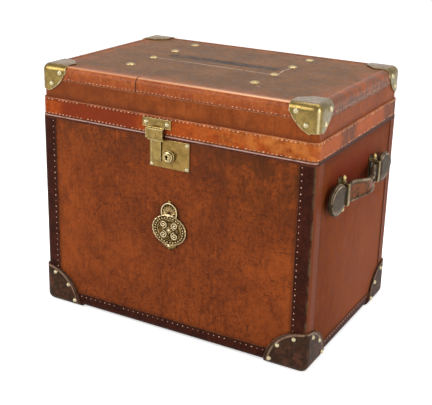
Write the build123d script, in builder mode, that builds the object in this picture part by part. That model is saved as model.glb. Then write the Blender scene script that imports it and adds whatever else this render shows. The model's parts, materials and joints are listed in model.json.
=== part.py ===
"""Leather trunk: a boarded box covered in hide, with a hinged lid, brass corners,
a hasp over a sliding-knob lock, leather base caps and a strap handle on each end.

Frame: millimetres, X to the right, the front faces -Y, Z up.
The origin is on the ground under the middle of the trunk.
"""

from build123d import *
import os
from math import cos, radians, sin

os.makedirs("parts", exist_ok=True)

# Overall sizes: the hide panels' outer faces, the rim that the lid meets, and the lid
body_width = 480.0
body_depth = 330.0
rim_height = 330.0
lid_height = 80.0
edge_radius = 8.0

# Boards and hides
wall_board_t = 9.0
base_board_t = 9.0
lid_wall_t = 6.5
lid_board_t = 9.0
hide_t = 2.5
lining_t = 1.0
lid_lining_t = 0.8

# Bindings of the body
binding_proud = 1.2
corner_binding_w = 25.0
base_binding_h = 22.0
base_binding_under = 16.0
rim_binding_h = 5.0
rim_binding_t = 1.5

# Leather caps on the four bottom corners
cap_t = 3.0
cap_radius = 66.0
cap_offset = 5.0
cap_under_radius = 44.0
cap_nail_margin = 9.0
cap_nail_angles = (12.0, 41.0, 73.0)
cap_nail_r = 3.8
nail_rise = 1.6
nail_sides = 10

# Inner lip that centres the lid
lip_t = 3.0
lip_rise = 8.0
lip_depth = 30.0

# Lid
lid_inset = 1.5
lid_seam = 0.3
lid_radius = 9.0
band_h = 28.0
band_proud = 2.5
top_binding_down = 22.0
top_binding_in = 12.0
top_binding_proud = 0.8

# Brass corners of the lid
brass_t = 1.6
brass_reach = 45.0
brass_drop = 41.0
brass_shoulder = 12.0
brass_foot = 14.0
brass_top_reach = 48.0
brass_top_cut = 18.0
brass_corner_fillet = 5.0
brass_rivet_places = ((37.0, 12.5), (21.0, 30.5))
brass_rivet_r = 4.2

# Large rivets through the top board, in two rows from front to back
top_rivet_from_left = 112.0
top_rivet_from_right = 141.0
top_rivet_from_front = 82.0
top_rivet_from_back = 42.0
top_rivet_count = 4
top_rivet_r = 7.5
top_rivet_rise = 2.4

# Lock with a sliding knob
lock_x = 1.5
lock_w = 70.0
lock_h = 45.0
lock_top_gap = 5.5
lock_plate_t = 2.0
lock_nail_inset = 4.0
lock_nail_r = 3.4
knob_x = 1.0
knob_drop = 25.5
knob_r = 10.0
knob_step_r = 8.4
knob_face_r = 6.5
knob_flange_t = 2.0
knob_step_t = 3.0
knob_height = 8.0
knob_shank_r = 3.0
knob_travel = 7.0
keyhole_r = 1.5
keyhole_slot = 4.6
keyhole_depth = 3.0
knob_flange_chamfer = 0.6
knob_face_chamfer = 0.8
lock_corner_r = 1.5
lock_chamfer = 0.5
slide_clear = 0.25
bolt_t = 2.0
bolt_left = 14.0
bolt_right = 11.0
bolt_low = 8.0
nose_h = 2.2
case_wall = 1.2
case_depth = 10.2
case_left = 17.0
case_right = 31.0
case_low = 18.0
case_high = 18.0
mortise_clear = 0.3
cut_past = 1.0
spring_strip_t = 0.6
spring_h = 8.0
spring_rise = 6.5

# Hasp, hinged on a plate on the lid band
hasp_x = -21.0
hasp_plate_w = 50.0
hasp_plate_t = 2.0
hasp_plate_chamfer = 0.5
hasp_plate_h = 14.0
hasp_screw_pitch = 37.0
hasp_screw_r = 3.6
hasp_pivot_rise = 10.5
hasp_barrel_r = 3.0
hasp_pin_r = 1.3
hasp_w = 30.0
hasp_box_h = 12.5
hasp_box_gap = 0.6
hasp_hood_chamfer = 1.0
hasp_foot_slope = (1.2, 2.5)
hasp_proud = 10.8
hasp_lip_w = 27.0
hasp_lip_h = 3.0
tongue_w = 17.0
tongue_t = 2.0
tongue_drop = 35.5
tongue_chamfer = 0.8
hasp_clear = 0.3
staple_t = 4.0
staple_h = 7.0
staple_depth = 5.8
staple_drop = 28.6
eye_h = 3.0
eye_d = 2.6
eye_wall = 1.1
nose_gap = 0.4
channel_side = 5.0
channel_end = 0.5
channel_clear = 3.0

# Back hinges
hinge_from_end = 90.0
hinge_w = 60.0
hinge_leaf_t = 2.2
hinge_body_leaf_h = 46.0
hinge_lid_leaf_h = 25.0
hinge_knuckle_r = 4.6
hinge_pin_r = 2.2
hinge_gap = 0.4
running_clear = 0.05

# Strap handles on the ends
handle_y = -10.0
handle_drop = 69.0
keeper_half_pitch = 65.0
keeper_plate_w = 16.0
keeper_plate_t = 2.0
keeper_pin_r = 2.0
keeper_pin_stand = 7.0
keeper_ball_r = 4.0
keeper_loop_w = 7.0
keeper_loop_t = 2.4
keeper_lug_t = 3.5
lug_wall = 1.5
loop_eye_wall = 1.6
strap_t = 5.3
strap_h = 28.0
strap_clear = 0.35
strap_play = 4.0
grip_h = 34.0
grip_shoulder = 10.0
waist_h = 24.0
grip_t = 9.0
grip_bow = 13.0
pad_h = 48.0
pad_t = 8.5
pad_end = 125.0
pad_widest = 92.0
pad_shoulder = (4.0, 2.5)
pad_quarter = (23.0, 8.0)
pad_edge = 1.0

# Cast ornament on the front
ornament_x = 2.5
ornament_drop = 150.0
ornament_half_w = 31.0
ornament_half_h = 25.0
ornament_t = 2.4
ornament_rim = 4.5
ornament_rim_rise = 1.4
petal_count = 5
petal_half_l = 12.5
petal_half_w = 4.2
petal_spread = 36.0
petal_overlap = 2.0
petal_seat = 0.9
leaf_share = 0.7
boss_sunk = 0.5
boss_share = 0.6

# Worked out from the sizes above
half_w = body_width / 2
half_d = body_depth / 2
under_binding = cap_t
under_hide = under_binding + binding_proud
under_board = under_hide + hide_t
floor_z = under_board + base_board_t
board_top = rim_height - rim_binding_t
rim_binding_low = rim_height - rim_binding_h
base_binding_top = under_binding + base_binding_h
board_half_w = half_w - hide_t
board_half_d = half_d - hide_t
inner_half_w = board_half_w - wall_board_t
inner_half_d = board_half_d - wall_board_t
lined_half_w = inner_half_w - lining_t
lined_half_d = inner_half_d - lining_t
lid_low = rim_height + lid_seam
lid_top = rim_height + lid_height
lid_half_w = half_w - lid_inset
lid_half_d = half_d - lid_inset
lid_board_half_w = lid_half_w - hide_t
lid_board_half_d = lid_half_d - hide_t
lid_inner_half_w = lid_board_half_w - lid_wall_t
lid_inner_half_d = lid_board_half_d - lid_wall_t
lid_board_top = lid_top - hide_t
lid_board_low = lid_board_top - lid_board_t
band_top = lid_low + band_h
band_face = lid_half_d + band_proud
panel_low = base_binding_top
panel_high = rim_binding_low
lock_top = rim_height - lock_top_gap
knob_z = lock_top - knob_drop
handle_z = rim_height - handle_drop
ornament_z = rim_height - ornament_drop
hinge_x = half_w - hinge_from_end
sides = {"right": 1, "left": -1}
ends = {"front": -1, "back": 1}


def finish(piece, name):
    """Names a finished piece and writes it."""
    piece.label = name
    export_step(piece, f"parts/{name}.step")


def box_between(low, high, mode=Mode.ADD):
    """Block between two opposite corners."""
    middle = tuple((a + b) / 2 for a, b in zip(low, high))
    with Locations(middle):
        Box(*(b - a for a, b in zip(low, high)), mode=mode)


def rounded_block(half_x, half_y, z_low, z_high, radius, soft_end):
    """Solid block with rounded upright edges; soft_end is 0 for a rounded bottom, -1 for a top."""
    with BuildPart() as block:
        box_between((-half_x, -half_y, z_low), (half_x, half_y, z_high))
        end_face = block.faces().filter_by(Axis.Z).sort_by(Axis.Z)[soft_end]
        fillet(block.edges().filter_by(Axis.Z) + end_face.edges(), radius)
    return block.part


def corner_planes(sx, sy, x, y, z):
    """Planes on the front or back, side, and level faces of a corner; local x runs in from it."""
    at = (sx * x, sy * y, z)
    face = Plane(origin=at, x_dir=(-sx, 0, 0), z_dir=(0, sx, 0))
    side = Plane(origin=at, x_dir=(0, -sy, 0), z_dir=(-sy, 0, 0))
    level = Plane(origin=at, x_dir=(-sx, 0, 0), z_dir=(0, 0, sx * sy))
    return face, side, level


def face_seat(sx, sy, x, y, z, on_side, inward, up):
    """Plane on a corner's face with its normal outwards, for a nail head."""
    if on_side:
        return Plane(origin=(sx * x, sy * (y - inward), z + up), z_dir=(sx, 0, 0))
    return Plane(origin=(sx * (x - inward), sy * y, z + up), z_dir=(0, sy, 0))


def dome_head(radius, rise):
    """Low domed nail head in three tiers that stands on its local origin."""
    with BuildPart() as head:
        for share, level in ((1.0, 0.0), (0.8, 0.6), (0.35, 1.0)):
            with BuildSketch(Plane.XY.offset(level * rise)):
                RegularPolygon(share * radius, nail_sides)
        loft(ruled=True)
    return head.part


# Envelopes of the body: board faces, hide faces, binding faces and cap faces
body_core = rounded_block(
    board_half_w, board_half_d, under_board, board_top, edge_radius - hide_t, 0
)
body_hide = rounded_block(half_w, half_d, under_hide, rim_height, edge_radius, 0)
body_bound = rounded_block(
    half_w + binding_proud,
    half_d + binding_proud,
    under_binding,
    rim_height,
    edge_radius + binding_proud,
    0,
)
cap_half_w = half_w + binding_proud + cap_t
cap_half_d = half_d + binding_proud + cap_t
body_capped = rounded_block(
    cap_half_w, cap_half_d, 0, rim_height, edge_radius + binding_proud + cap_t, 0
)

# Envelopes of the lid
lid_core = rounded_block(
    lid_board_half_w, lid_board_half_d, lid_low, lid_board_top, lid_radius - hide_t, -1
)
lid_hide = rounded_block(lid_half_w, lid_half_d, lid_low, lid_top, lid_radius, -1)
lid_bound = rounded_block(
    lid_half_w + top_binding_proud,
    lid_half_d + top_binding_proud,
    lid_low,
    lid_top + top_binding_proud,
    lid_radius + top_binding_proud,
    -1,
)
brass_half_w = lid_half_w + top_binding_proud + brass_t
brass_half_d = lid_half_d + top_binding_proud + brass_t
brass_top = lid_top + top_binding_proud + brass_t
lid_brassed = rounded_block(
    brass_half_w, brass_half_d, lid_low, brass_top, lid_radius + top_binding_proud + brass_t, -1
)

# The lock case lies in a mortise behind its plate, and the staple drops into a channel beside it
plate_face = -(half_d + lock_plate_t)
case_box = (
    (knob_x - case_left, -half_d, knob_z - case_low),
    (knob_x + case_right, -half_d + case_depth, knob_z + case_high),
)
mortise_low = (case_box[0][0] - mortise_clear, -half_d - 1, case_box[0][2] - mortise_clear)
mortise_high = (
    case_box[1][0] + mortise_clear,
    case_box[1][1] + mortise_clear,
    case_box[1][2] + mortise_clear,
)
hasp_rear = plate_face - hasp_clear
pivot_y = -(band_face + hasp_barrel_r + hinge_gap)
pivot_z = lid_low + hasp_pivot_rise
staple_top = pivot_z - staple_drop + staple_h / 2
staple_bottom = pivot_z - staple_drop - staple_h / 2
staple_tip = hasp_rear + staple_depth
channel_half = channel_side
channel_low = (hasp_x - channel_half, plate_face - cut_past, staple_bottom - channel_clear)
channel_high = (hasp_x + channel_half, staple_tip + channel_end, rim_height + cut_past)

# Boards of the body, butt joined, with the ends between the front and the back
with BuildPart() as front_board:
    box_between((-half_w, -half_d, under_board), (half_w, -inner_half_d, board_top))
    add(body_core, mode=Mode.INTERSECT)
    box_between(mortise_low, mortise_high, mode=Mode.SUBTRACT)
    box_between(channel_low, channel_high, mode=Mode.SUBTRACT)
finish(front_board.part, "front_board")

with BuildPart() as back_board:
    box_between((-half_w, inner_half_d, under_board), (half_w, half_d, board_top))
    add(body_core, mode=Mode.INTERSECT)
finish(back_board.part, "back_board")

for name, sx in sides.items():
    with BuildPart() as end_board:
        near = sx * inner_half_w
        far = sx * half_w
        box_between(
            (min(near, far), -inner_half_d, under_board),
            (max(near, far), inner_half_d, board_top),
        )
        add(body_core, mode=Mode.INTERSECT)
    finish(end_board.part, f"{name}_board")

with BuildPart() as base_board:
    box_between((-inner_half_w, -inner_half_d, under_board), (inner_half_w, inner_half_d, floor_z))
finish(base_board.part, "base_board")

# Hide panels between the bindings
panel_half_w = half_w - corner_binding_w
panel_half_d = half_d - corner_binding_w
with BuildPart() as front_leather:
    box_between((-panel_half_w, -half_d, panel_low), (panel_half_w, -board_half_d, panel_high))
    box_between(mortise_low, mortise_high, mode=Mode.SUBTRACT)
    box_between(channel_low, channel_high, mode=Mode.SUBTRACT)
finish(front_leather.part, "front_leather")

with BuildPart() as back_leather:
    box_between((-panel_half_w, board_half_d, panel_low), (panel_half_w, half_d, panel_high))
finish(back_leather.part, "back_leather")

for name, sx in sides.items():
    with BuildPart() as end_leather:
        near = sx * board_half_w
        far = sx * half_w
        box_between(
            (min(near, far), -panel_half_d, panel_low),
            (max(near, far), panel_half_d, panel_high),
        )
    finish(end_leather.part, f"{name}_leather")

under_half_w = half_w - base_binding_under
under_half_d = half_d - base_binding_under
with BuildPart() as base_leather:
    box_between((-under_half_w, -under_half_d, under_hide), (under_half_w, under_half_d, under_board))
finish(base_leather.part, "base_leather")

# Bindings: uprights at the corners, a foot all round, and a roll over the rim
with BuildPart() as base_binding:
    add(body_bound)
    box_between(
        (-body_width, -body_depth, base_binding_top),
        (body_width, body_depth, 2 * rim_height),
        mode=Mode.SUBTRACT,
    )
    add(body_core, mode=Mode.SUBTRACT)
    box_between(
        (-under_half_w, -under_half_d, -1),
        (under_half_w, under_half_d, base_binding_top + 1),
        mode=Mode.SUBTRACT,
    )
finish(base_binding.part, "base_binding")

with BuildPart() as rim_binding:
    add(body_bound)
    box_between(
        (-body_width, -body_depth, -1),
        (body_width, body_depth, rim_binding_low),
        mode=Mode.SUBTRACT,
    )
    add(body_core, mode=Mode.SUBTRACT)
    box_between(
        (-inner_half_w, -inner_half_d, 0),
        (inner_half_w, inner_half_d, rim_height + 1),
        mode=Mode.SUBTRACT,
    )
    box_between(channel_low, channel_high, mode=Mode.SUBTRACT)
finish(rim_binding.part, "rim_binding")

nail = dome_head(cap_nail_r, nail_rise)
cap_nail_seats = []
cap_slab = edge_radius + binding_proud + cap_t + hide_t
for end_name, sy in ends.items():
    for side_name, sx in sides.items():
        with BuildPart() as corner_binding:
            xs = sorted((sx * panel_half_w, sx * body_width))
            ys = sorted((sy * panel_half_d, sy * body_depth))
            box_between((xs[0], ys[0], panel_low), (xs[1], ys[1], panel_high))
            add(body_bound, mode=Mode.INTERSECT)
            add(body_core, mode=Mode.SUBTRACT)
        finish(corner_binding.part, f"corner_binding_{end_name}_{side_name}")

        # A three-lobed cap, moulded over the binding and the panels
        face, side, level = corner_planes(sx, sy, cap_half_w, cap_half_d, 0)
        with BuildPart() as base_cap:
            for plane in (face, side):
                with BuildSketch(plane):
                    with Locations((cap_offset, 0)):
                        Circle(cap_radius)
                extrude(amount=cap_slab, both=True)
            with BuildSketch(level):
                with Locations((cap_offset, cap_offset)):
                    Circle(cap_under_radius)
            extrude(amount=cap_slab, both=True)
            add(body_capped, mode=Mode.INTERSECT)
            add(body_hide, mode=Mode.SUBTRACT)
            add(corner_binding.part, mode=Mode.SUBTRACT)
            add(base_binding.part, mode=Mode.SUBTRACT)
        finish(base_cap.part, f"base_cap_{end_name}_{side_name}")

        for angle in cap_nail_angles:
            reach = cap_radius - cap_nail_margin
            inward = cap_offset + reach * cos(radians(angle))
            up = reach * sin(radians(angle))
            for on_side in (False, True):
                seat = face_seat(sx, sy, cap_half_w, cap_half_d, 0, on_side, inward, up)
                cap_nail_seats.append(seat)

with BuildPart() as cap_nails:
    with Locations(*cap_nail_seats):
        add(nail)
finish(cap_nails.part, "cap_nails")

# Lining, and the lip inside the rim
with BuildPart() as body_lining:
    box_between((-inner_half_w, -inner_half_d, floor_z), (inner_half_w, inner_half_d, rim_height))
    box_between(
        (-lined_half_w, -lined_half_d, floor_z + lining_t),
        (lined_half_w, lined_half_d, rim_height + 1),
        mode=Mode.SUBTRACT,
    )
finish(body_lining.part, "body_lining")

with BuildPart() as rim_lip:
    with BuildSketch(Plane.XY.offset(rim_height - lip_depth)):
        Rectangle(2 * lined_half_w, 2 * lined_half_d)
        Rectangle(2 * (lined_half_w - lip_t), 2 * (lined_half_d - lip_t), mode=Mode.SUBTRACT)
    extrude(amount=lip_depth + lip_rise)
    chamfer(rim_lip.faces().sort_by(Axis.Z)[-1].edges(), lip_t / 3)
finish(rim_lip.part, "rim_lip")

# Lid boards
with BuildPart() as lid_top_board:
    add(lid_core)
    box_between(
        (-body_width, -body_depth, 0), (body_width, body_depth, lid_board_low), mode=Mode.SUBTRACT
    )
finish(lid_top_board.part, "lid_top_board")

for end_name, sy in ends.items():
    with BuildPart() as lid_long_rail:
        near = sy * lid_inner_half_d
        far = sy * half_d
        box_between(
            (-half_w, min(near, far), lid_low), (half_w, max(near, far), lid_board_low)
        )
        add(lid_core, mode=Mode.INTERSECT)
    finish(lid_long_rail.part, f"lid_{end_name}_board")

for side_name, sx in sides.items():
    with BuildPart() as lid_short_rail:
        near = sx * lid_inner_half_w
        far = sx * half_w
        box_between(
            (min(near, far), -lid_inner_half_d, lid_low),
            (max(near, far), lid_inner_half_d, lid_board_low),
        )
        add(lid_core, mode=Mode.INTERSECT)
    finish(lid_short_rail.part, f"lid_{side_name}_board")

# Lid hides and bindings
top_half_w = lid_half_w - top_binding_in
top_half_d = lid_half_d - top_binding_in
with BuildPart() as lid_top_leather:
    box_between((-top_half_w, -top_half_d, lid_board_top), (top_half_w, top_half_d, lid_top))
finish(lid_top_leather.part, "lid_top_leather")

with BuildPart() as lid_side_leather:
    add(lid_hide)
    box_between(
        (-body_width, -body_depth, lid_top - top_binding_down),
        (body_width, body_depth, lid_top + lid_height),
        mode=Mode.SUBTRACT,
    )
    box_between((-body_width, -body_depth, 0), (body_width, body_depth, band_top), mode=Mode.SUBTRACT)
    add(lid_core, mode=Mode.SUBTRACT)
    box_between(
        (-lid_inner_half_w, -lid_inner_half_d, 0),
        (lid_inner_half_w, lid_inner_half_d, lid_top),
        mode=Mode.SUBTRACT,
    )
finish(lid_side_leather.part, "lid_side_leather")

with BuildPart() as top_edge_binding:
    add(lid_bound)
    box_between(
        (-body_width, -body_depth, 0),
        (body_width, body_depth, lid_top - top_binding_down),
        mode=Mode.SUBTRACT,
    )
    box_between(
        (-top_half_w, -top_half_d, 0),
        (top_half_w, top_half_d, lid_top + lid_height),
        mode=Mode.SUBTRACT,
    )
    add(lid_core, mode=Mode.SUBTRACT)
finish(top_edge_binding.part, "top_edge_binding")

with BuildPart() as rim_band:
    with BuildSketch(Plane.XY.offset(lid_low)):
        RectangleRounded(
            2 * (lid_half_w + band_proud), 2 * (lid_half_d + band_proud), lid_radius + band_proud
        )
        RectangleRounded(
            2 * lid_board_half_w, 2 * lid_board_half_d, lid_radius - hide_t, mode=Mode.SUBTRACT
        )
    extrude(amount=band_h)
finish(rim_band.part, "rim_band")

with BuildPart() as lid_lining:
    box_between(
        (-lid_inner_half_w, -lid_inner_half_d, lid_low),
        (lid_inner_half_w, lid_inner_half_d, lid_board_low),
    )
    box_between(
        (lid_lining_t - lid_inner_half_w, lid_lining_t - lid_inner_half_d, 0),
        (lid_inner_half_w - lid_lining_t, lid_inner_half_d - lid_lining_t, lid_board_low - lid_lining_t),
        mode=Mode.SUBTRACT,
    )
finish(lid_lining.part, "lid_lining")

# Brass corners: three lobes folded over each corner of the lid, two rivets through each upright one
rivet = dome_head(brass_rivet_r, nail_rise)
brass_rivet_seats = []
brass_slab = lid_radius + top_binding_proud + brass_t + hide_t
face_lobe = (
    (-brass_t, brass_t),
    (brass_reach, brass_t),
    (brass_reach, -brass_shoulder),
    (brass_foot, -brass_drop),
    (-brass_t, -brass_drop),
)
level_lobe = (
    (-brass_t, -brass_t),
    (brass_top_reach, -brass_t),
    (brass_top_reach, brass_top_reach - brass_top_cut),
    (brass_top_reach - brass_top_cut, brass_top_reach),
    (-brass_t, brass_top_reach),
)
for end_name, sy in ends.items():
    for side_name, sx in sides.items():
        face, side, level = corner_planes(sx, sy, brass_half_w, brass_half_d, brass_top)
        with BuildPart() as lid_corner:
            for plane, outline in ((face, face_lobe), (side, face_lobe), (level, level_lobe)):
                with BuildSketch(plane) as lobe:
                    with BuildLine():
                        Polyline(*outline, close=True)
                    make_face()
                    fillet(lobe.vertices(), brass_corner_fillet)
                    with BuildLine():
                        Polyline(*outline[:2], outline[-1], close=True)
                    make_face()
                extrude(amount=brass_slab, both=True)
            add(lid_brassed, mode=Mode.INTERSECT)
            add(lid_hide, mode=Mode.SUBTRACT)
            add(top_edge_binding.part, mode=Mode.SUBTRACT)
        finish(lid_corner.part, f"lid_corner_{end_name}_{side_name}")

        for inward, down in brass_rivet_places:
            for on_side in (False, True):
                seat = face_seat(sx, sy, brass_half_w, brass_half_d, brass_top, on_side, inward, -down)
                brass_rivet_seats.append(seat)

with BuildPart() as corner_rivets:
    with Locations(*brass_rivet_seats):
        add(rivet)
finish(corner_rivets.part, "corner_rivets")

top_rivet = dome_head(top_rivet_r, top_rivet_rise)
top_rivet_rows = (-lid_half_w + top_rivet_from_left, lid_half_w - top_rivet_from_right)
top_rivet_first = -lid_half_d + top_rivet_from_front
top_rivet_pitch = (lid_half_d - top_rivet_from_back - top_rivet_first) / (top_rivet_count - 1)
with BuildPart() as lid_top_rivets:
    for row_x in top_rivet_rows:
        for step in range(top_rivet_count):
            with Locations((row_x, top_rivet_first + step * top_rivet_pitch, lid_top)):
                add(top_rivet)
finish(lid_top_rivets.part, "lid_top_rivets")

# Lock plate, with a slot for the knob's shank and a notch that lets the staple in from above
front = Plane(origin=(0, -half_d, 0), x_dir=(1, 0, 0), z_dir=(0, -1, 0))
slot_half = knob_shank_r + slide_clear
with BuildPart() as lock_plate:
    with BuildSketch(front):
        with Locations((lock_x, lock_top - lock_h / 2)):
            RectangleRounded(lock_w, lock_h, lock_corner_r)
        with Locations((knob_x + knob_travel / 2, knob_z)):
            SlotOverall(knob_travel + 2 * slot_half, 2 * slot_half, mode=Mode.SUBTRACT)
    extrude(amount=lock_plate_t)
    chamfer(lock_plate.faces().sort_by(Axis.Y)[0].outer_wire().edges(), lock_chamfer)
    box_between(channel_low, channel_high, mode=Mode.SUBTRACT)
finish(lock_plate.part, "lock_plate")

lock_half_w = lock_w / 2 - lock_nail_inset
lock_nail_places = (
    (lock_x - lock_half_w, lock_top - lock_h + lock_nail_inset),
    (lock_x + lock_half_w, lock_top - lock_h + lock_nail_inset),
    (lock_x + lock_half_w, lock_top - lock_nail_inset),
)
lock_nail = dome_head(lock_nail_r, nail_rise)
with BuildPart() as lock_nails:
    for x, z in lock_nail_places:
        with Locations(Plane(origin=(x, plate_face, z), z_dir=(0, -1, 0))):
            add(lock_nail)
finish(lock_nails.part, "lock_nails")

# Case with an open front, and a window in its left wall for the bolt's nose
nose_z = pivot_z - staple_drop
eye_y = staple_tip - eye_wall - eye_d / 2
bolt_front = eye_y - bolt_t / 2
bolt_rear = eye_y + bolt_t / 2
with BuildPart() as lock_case:
    box_between(*case_box)
    box_between(
        (case_box[0][0] + case_wall, -half_d - 1, case_box[0][2] + case_wall),
        (case_box[1][0] - case_wall, case_box[1][1] - case_wall, case_box[1][2] - case_wall),
        mode=Mode.SUBTRACT,
    )
    box_between(
        (case_box[0][0] - 1, -half_d - 1, nose_z - nose_h / 2 - slide_clear),
        (case_box[0][0] + case_wall + 1, bolt_rear + slide_clear, nose_z + nose_h / 2 + slide_clear),
        mode=Mode.SUBTRACT,
    )
finish(lock_case.part, "lock_case")

# Bolt plate with the nose that reaches for the staple's eye
bolt_end = knob_x + bolt_right
nose_tip = hasp_x + staple_t / 2 + nose_gap
with BuildPart() as lock_bolt:
    box_between(
        (knob_x - bolt_left, bolt_front, knob_z - bolt_low),
        (bolt_end, bolt_rear, nose_z + nose_h / 2 + 1),
    )
    box_between(
        (nose_tip, bolt_front, nose_z - nose_h / 2),
        (knob_x - bolt_left, bolt_rear, nose_z + nose_h / 2),
    )
finish(lock_bolt.part, "lock_bolt")

# Bowed spring strip between the bolt and the case's right wall
spring_low_x = bolt_end + slide_clear
spring_high_x = case_box[1][0] - case_wall - slide_clear
spring_half = (spring_high_x - spring_low_x) / 2
spring_r = (spring_half**2 + spring_rise**2) / (2 * spring_rise)
spring_foot_y = bolt_front + slide_clear
with BuildPart() as lock_spring:
    with BuildSketch(Plane.XY.offset(knob_z - spring_h / 2)):
        with Locations(((spring_low_x + spring_high_x) / 2, spring_foot_y + spring_rise - spring_r)):
            Circle(spring_r)
            Circle(spring_r - spring_strip_t, mode=Mode.SUBTRACT)
        with Locations(((spring_low_x + spring_high_x) / 2, spring_foot_y + spring_r)):
            Rectangle(4 * spring_r, 2 * spring_r, mode=Mode.INTERSECT)
    extrude(amount=spring_h)
finish(lock_spring.part, "lock_spring")

# Knob: stepped rings with a keyhole, on a shank through the slot
knob_plane = Plane(origin=(knob_x, hasp_rear, knob_z), x_dir=(1, 0, 0), z_dir=(0, -1, 0))
with BuildPart() as lock_knob:
    with BuildSketch(knob_plane):
        Circle(knob_r)
    extrude(amount=knob_flange_t)
    chamfer(lock_knob.faces().sort_by(Axis.Y)[0].edges(), knob_flange_chamfer)
    with BuildSketch(knob_plane):
        Circle(knob_step_r)
    extrude(amount=knob_flange_t + knob_step_t)
    with BuildSketch(knob_plane):
        Circle(knob_face_r)
    extrude(amount=knob_height)
    chamfer(lock_knob.faces().sort_by(Axis.Y)[0].edges(), knob_face_chamfer)
    with BuildSketch(knob_plane):
        Circle(knob_shank_r)
    extrude(amount=hasp_rear - bolt_front)
    with BuildSketch(knob_plane.offset(knob_height)):
        with Locations((0, keyhole_r)):
            Circle(keyhole_r)
        with Locations((0, keyhole_r - keyhole_slot / 2)):
            Rectangle(keyhole_r, keyhole_slot)
    extrude(amount=-keyhole_depth, mode=Mode.SUBTRACT)
finish(lock_knob.part, "lock_knob")

# Hasp plate on the band: two knuckles, with a gap for the hasp's own knuckle between them
barrel_third = hasp_w / 3
middle_half = barrel_third / 2 + 1
with BuildPart() as hasp_plate:
    box_between(
        (hasp_x - hasp_plate_w / 2, -band_face - hasp_plate_t, pivot_z),
        (hasp_x + hasp_plate_w / 2, -band_face, pivot_z + hasp_plate_h),
    )
    chamfer(hasp_plate.faces().sort_by(Axis.Y)[0].edges().filter_by(Axis.Z), hasp_plate_chamfer)
    for start in (hasp_x - hasp_w / 2, hasp_x + middle_half):
        with BuildSketch(Plane.YZ.offset(start)):
            with Locations((pivot_y, pivot_z)):
                Circle(hasp_barrel_r)
        extrude(amount=hasp_w / 2 - middle_half)
    with BuildSketch(Plane.YZ.offset(hasp_x - middle_half)):
        with Locations((pivot_y, pivot_z)):
            Circle(hasp_barrel_r + hinge_gap)
    extrude(amount=2 * middle_half, mode=Mode.SUBTRACT)
    with BuildSketch(Plane.YZ.offset(hasp_x - hasp_w)):
        with Locations((pivot_y, pivot_z)):
            Circle(hasp_pin_r + running_clear)
    extrude(amount=2 * hasp_w, mode=Mode.SUBTRACT)
finish(hasp_plate.part, "hasp_plate")

with BuildPart() as hasp_pin:
    with BuildSketch(Plane.YZ.offset(hasp_x - hasp_w / 2)):
        with Locations((pivot_y, pivot_z)):
            Circle(hasp_pin_r)
    extrude(amount=hasp_w)
finish(hasp_pin.part, "hasp_pin")

hasp_screw = dome_head(hasp_screw_r, nail_rise)
with BuildPart() as hasp_screws:
    for x in (hasp_x - hasp_screw_pitch / 2, hasp_x + hasp_screw_pitch / 2):
        seat = (x, -band_face - hasp_plate_t, pivot_z + hasp_plate_h / 2)
        with Locations(Plane(origin=seat, z_dir=(0, -1, 0))):
            add(hasp_screw)
finish(hasp_screws.part, "hasp_screws")

# Hasp: a knuckle, a box with a shoulder, a lip, the tongue over the lock plate and its staple
hasp_front = -(half_d + hasp_proud)
box_high = pivot_z - hasp_barrel_r - hasp_box_gap
box_low = box_high - hasp_box_h
box_rear = -(band_face + 2 * hasp_clear)
knuckle_half = middle_half - hinge_gap
with BuildPart() as hasp:
    with BuildSketch(Plane.YZ.offset(hasp_x - hasp_w / 2)):
        with BuildLine():
            Polyline(
                (box_rear, box_high),
                (box_rear, box_low),
                (hasp_front + hasp_foot_slope[0], box_low),
                (hasp_front, box_low + hasp_foot_slope[1]),
                (hasp_front, box_high),
                close=True,
            )
        make_face()
    extrude(amount=hasp_w)
    box_between(
        (hasp_x - hasp_w / 2, hasp_front, box_high - cut_past),
        (hasp_x + hasp_w / 2, pivot_y - hasp_barrel_r - hinge_gap, pivot_z),
    )
    hood_edges = hasp.edges().filter_by(Axis.X).sort_by(Axis.Z)[-2:]
    chamfer(hood_edges.sort_by(Axis.Y)[0], hasp_hood_chamfer)
    box_between(
        (hasp_x - knuckle_half, pivot_y - hasp_barrel_r, box_high - 1),
        (hasp_x + knuckle_half, pivot_y, pivot_z),
    )
    with BuildSketch(Plane.YZ.offset(hasp_x - knuckle_half)):
        with Locations((pivot_y, pivot_z)):
            Circle(hasp_barrel_r)
    extrude(amount=2 * knuckle_half)
    with BuildSketch(Plane.YZ.offset(hasp_x - hasp_w)):
        with Locations((pivot_y, pivot_z)):
            Circle(hasp_pin_r + running_clear)
    extrude(amount=2 * hasp_w, mode=Mode.SUBTRACT)
    box_between(
        (hasp_x - hasp_lip_w / 2, hasp_rear - 2 * tongue_t, box_low - hasp_lip_h),
        (hasp_x + hasp_lip_w / 2, hasp_rear, box_low + 1),
    )
    box_between(
        (hasp_x - tongue_w / 2, hasp_rear - tongue_t, box_low - tongue_drop),
        (hasp_x + tongue_w / 2, hasp_rear, box_low + 1),
    )
    chamfer(hasp.faces().sort_by(Axis.Z)[0].edges().filter_by(Axis.X).sort_by(Axis.Y)[0], tongue_chamfer)
    box_between(
        (hasp_x - staple_t / 2, hasp_rear - 1, staple_bottom),
        (hasp_x + staple_t / 2, staple_tip, staple_top),
    )
    box_between(
        (hasp_x - staple_t, eye_y - eye_d / 2, nose_z - eye_h / 2),
        (hasp_x + staple_t, eye_y + eye_d / 2, nose_z + eye_h / 2),
        mode=Mode.SUBTRACT,
    )
finish(hasp.part, "hasp")

# Back hinges: two knuckles on the body's leaf and one on the lid's leaf
hinge_y = half_d + binding_proud + hinge_gap + hinge_knuckle_r
hinge_z = rim_height + lid_seam / 2
leaf_face = half_d + binding_proud + hinge_leaf_t
knuckle_w = hinge_w / 3
swing_r = hinge_knuckle_r + hinge_gap


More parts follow.
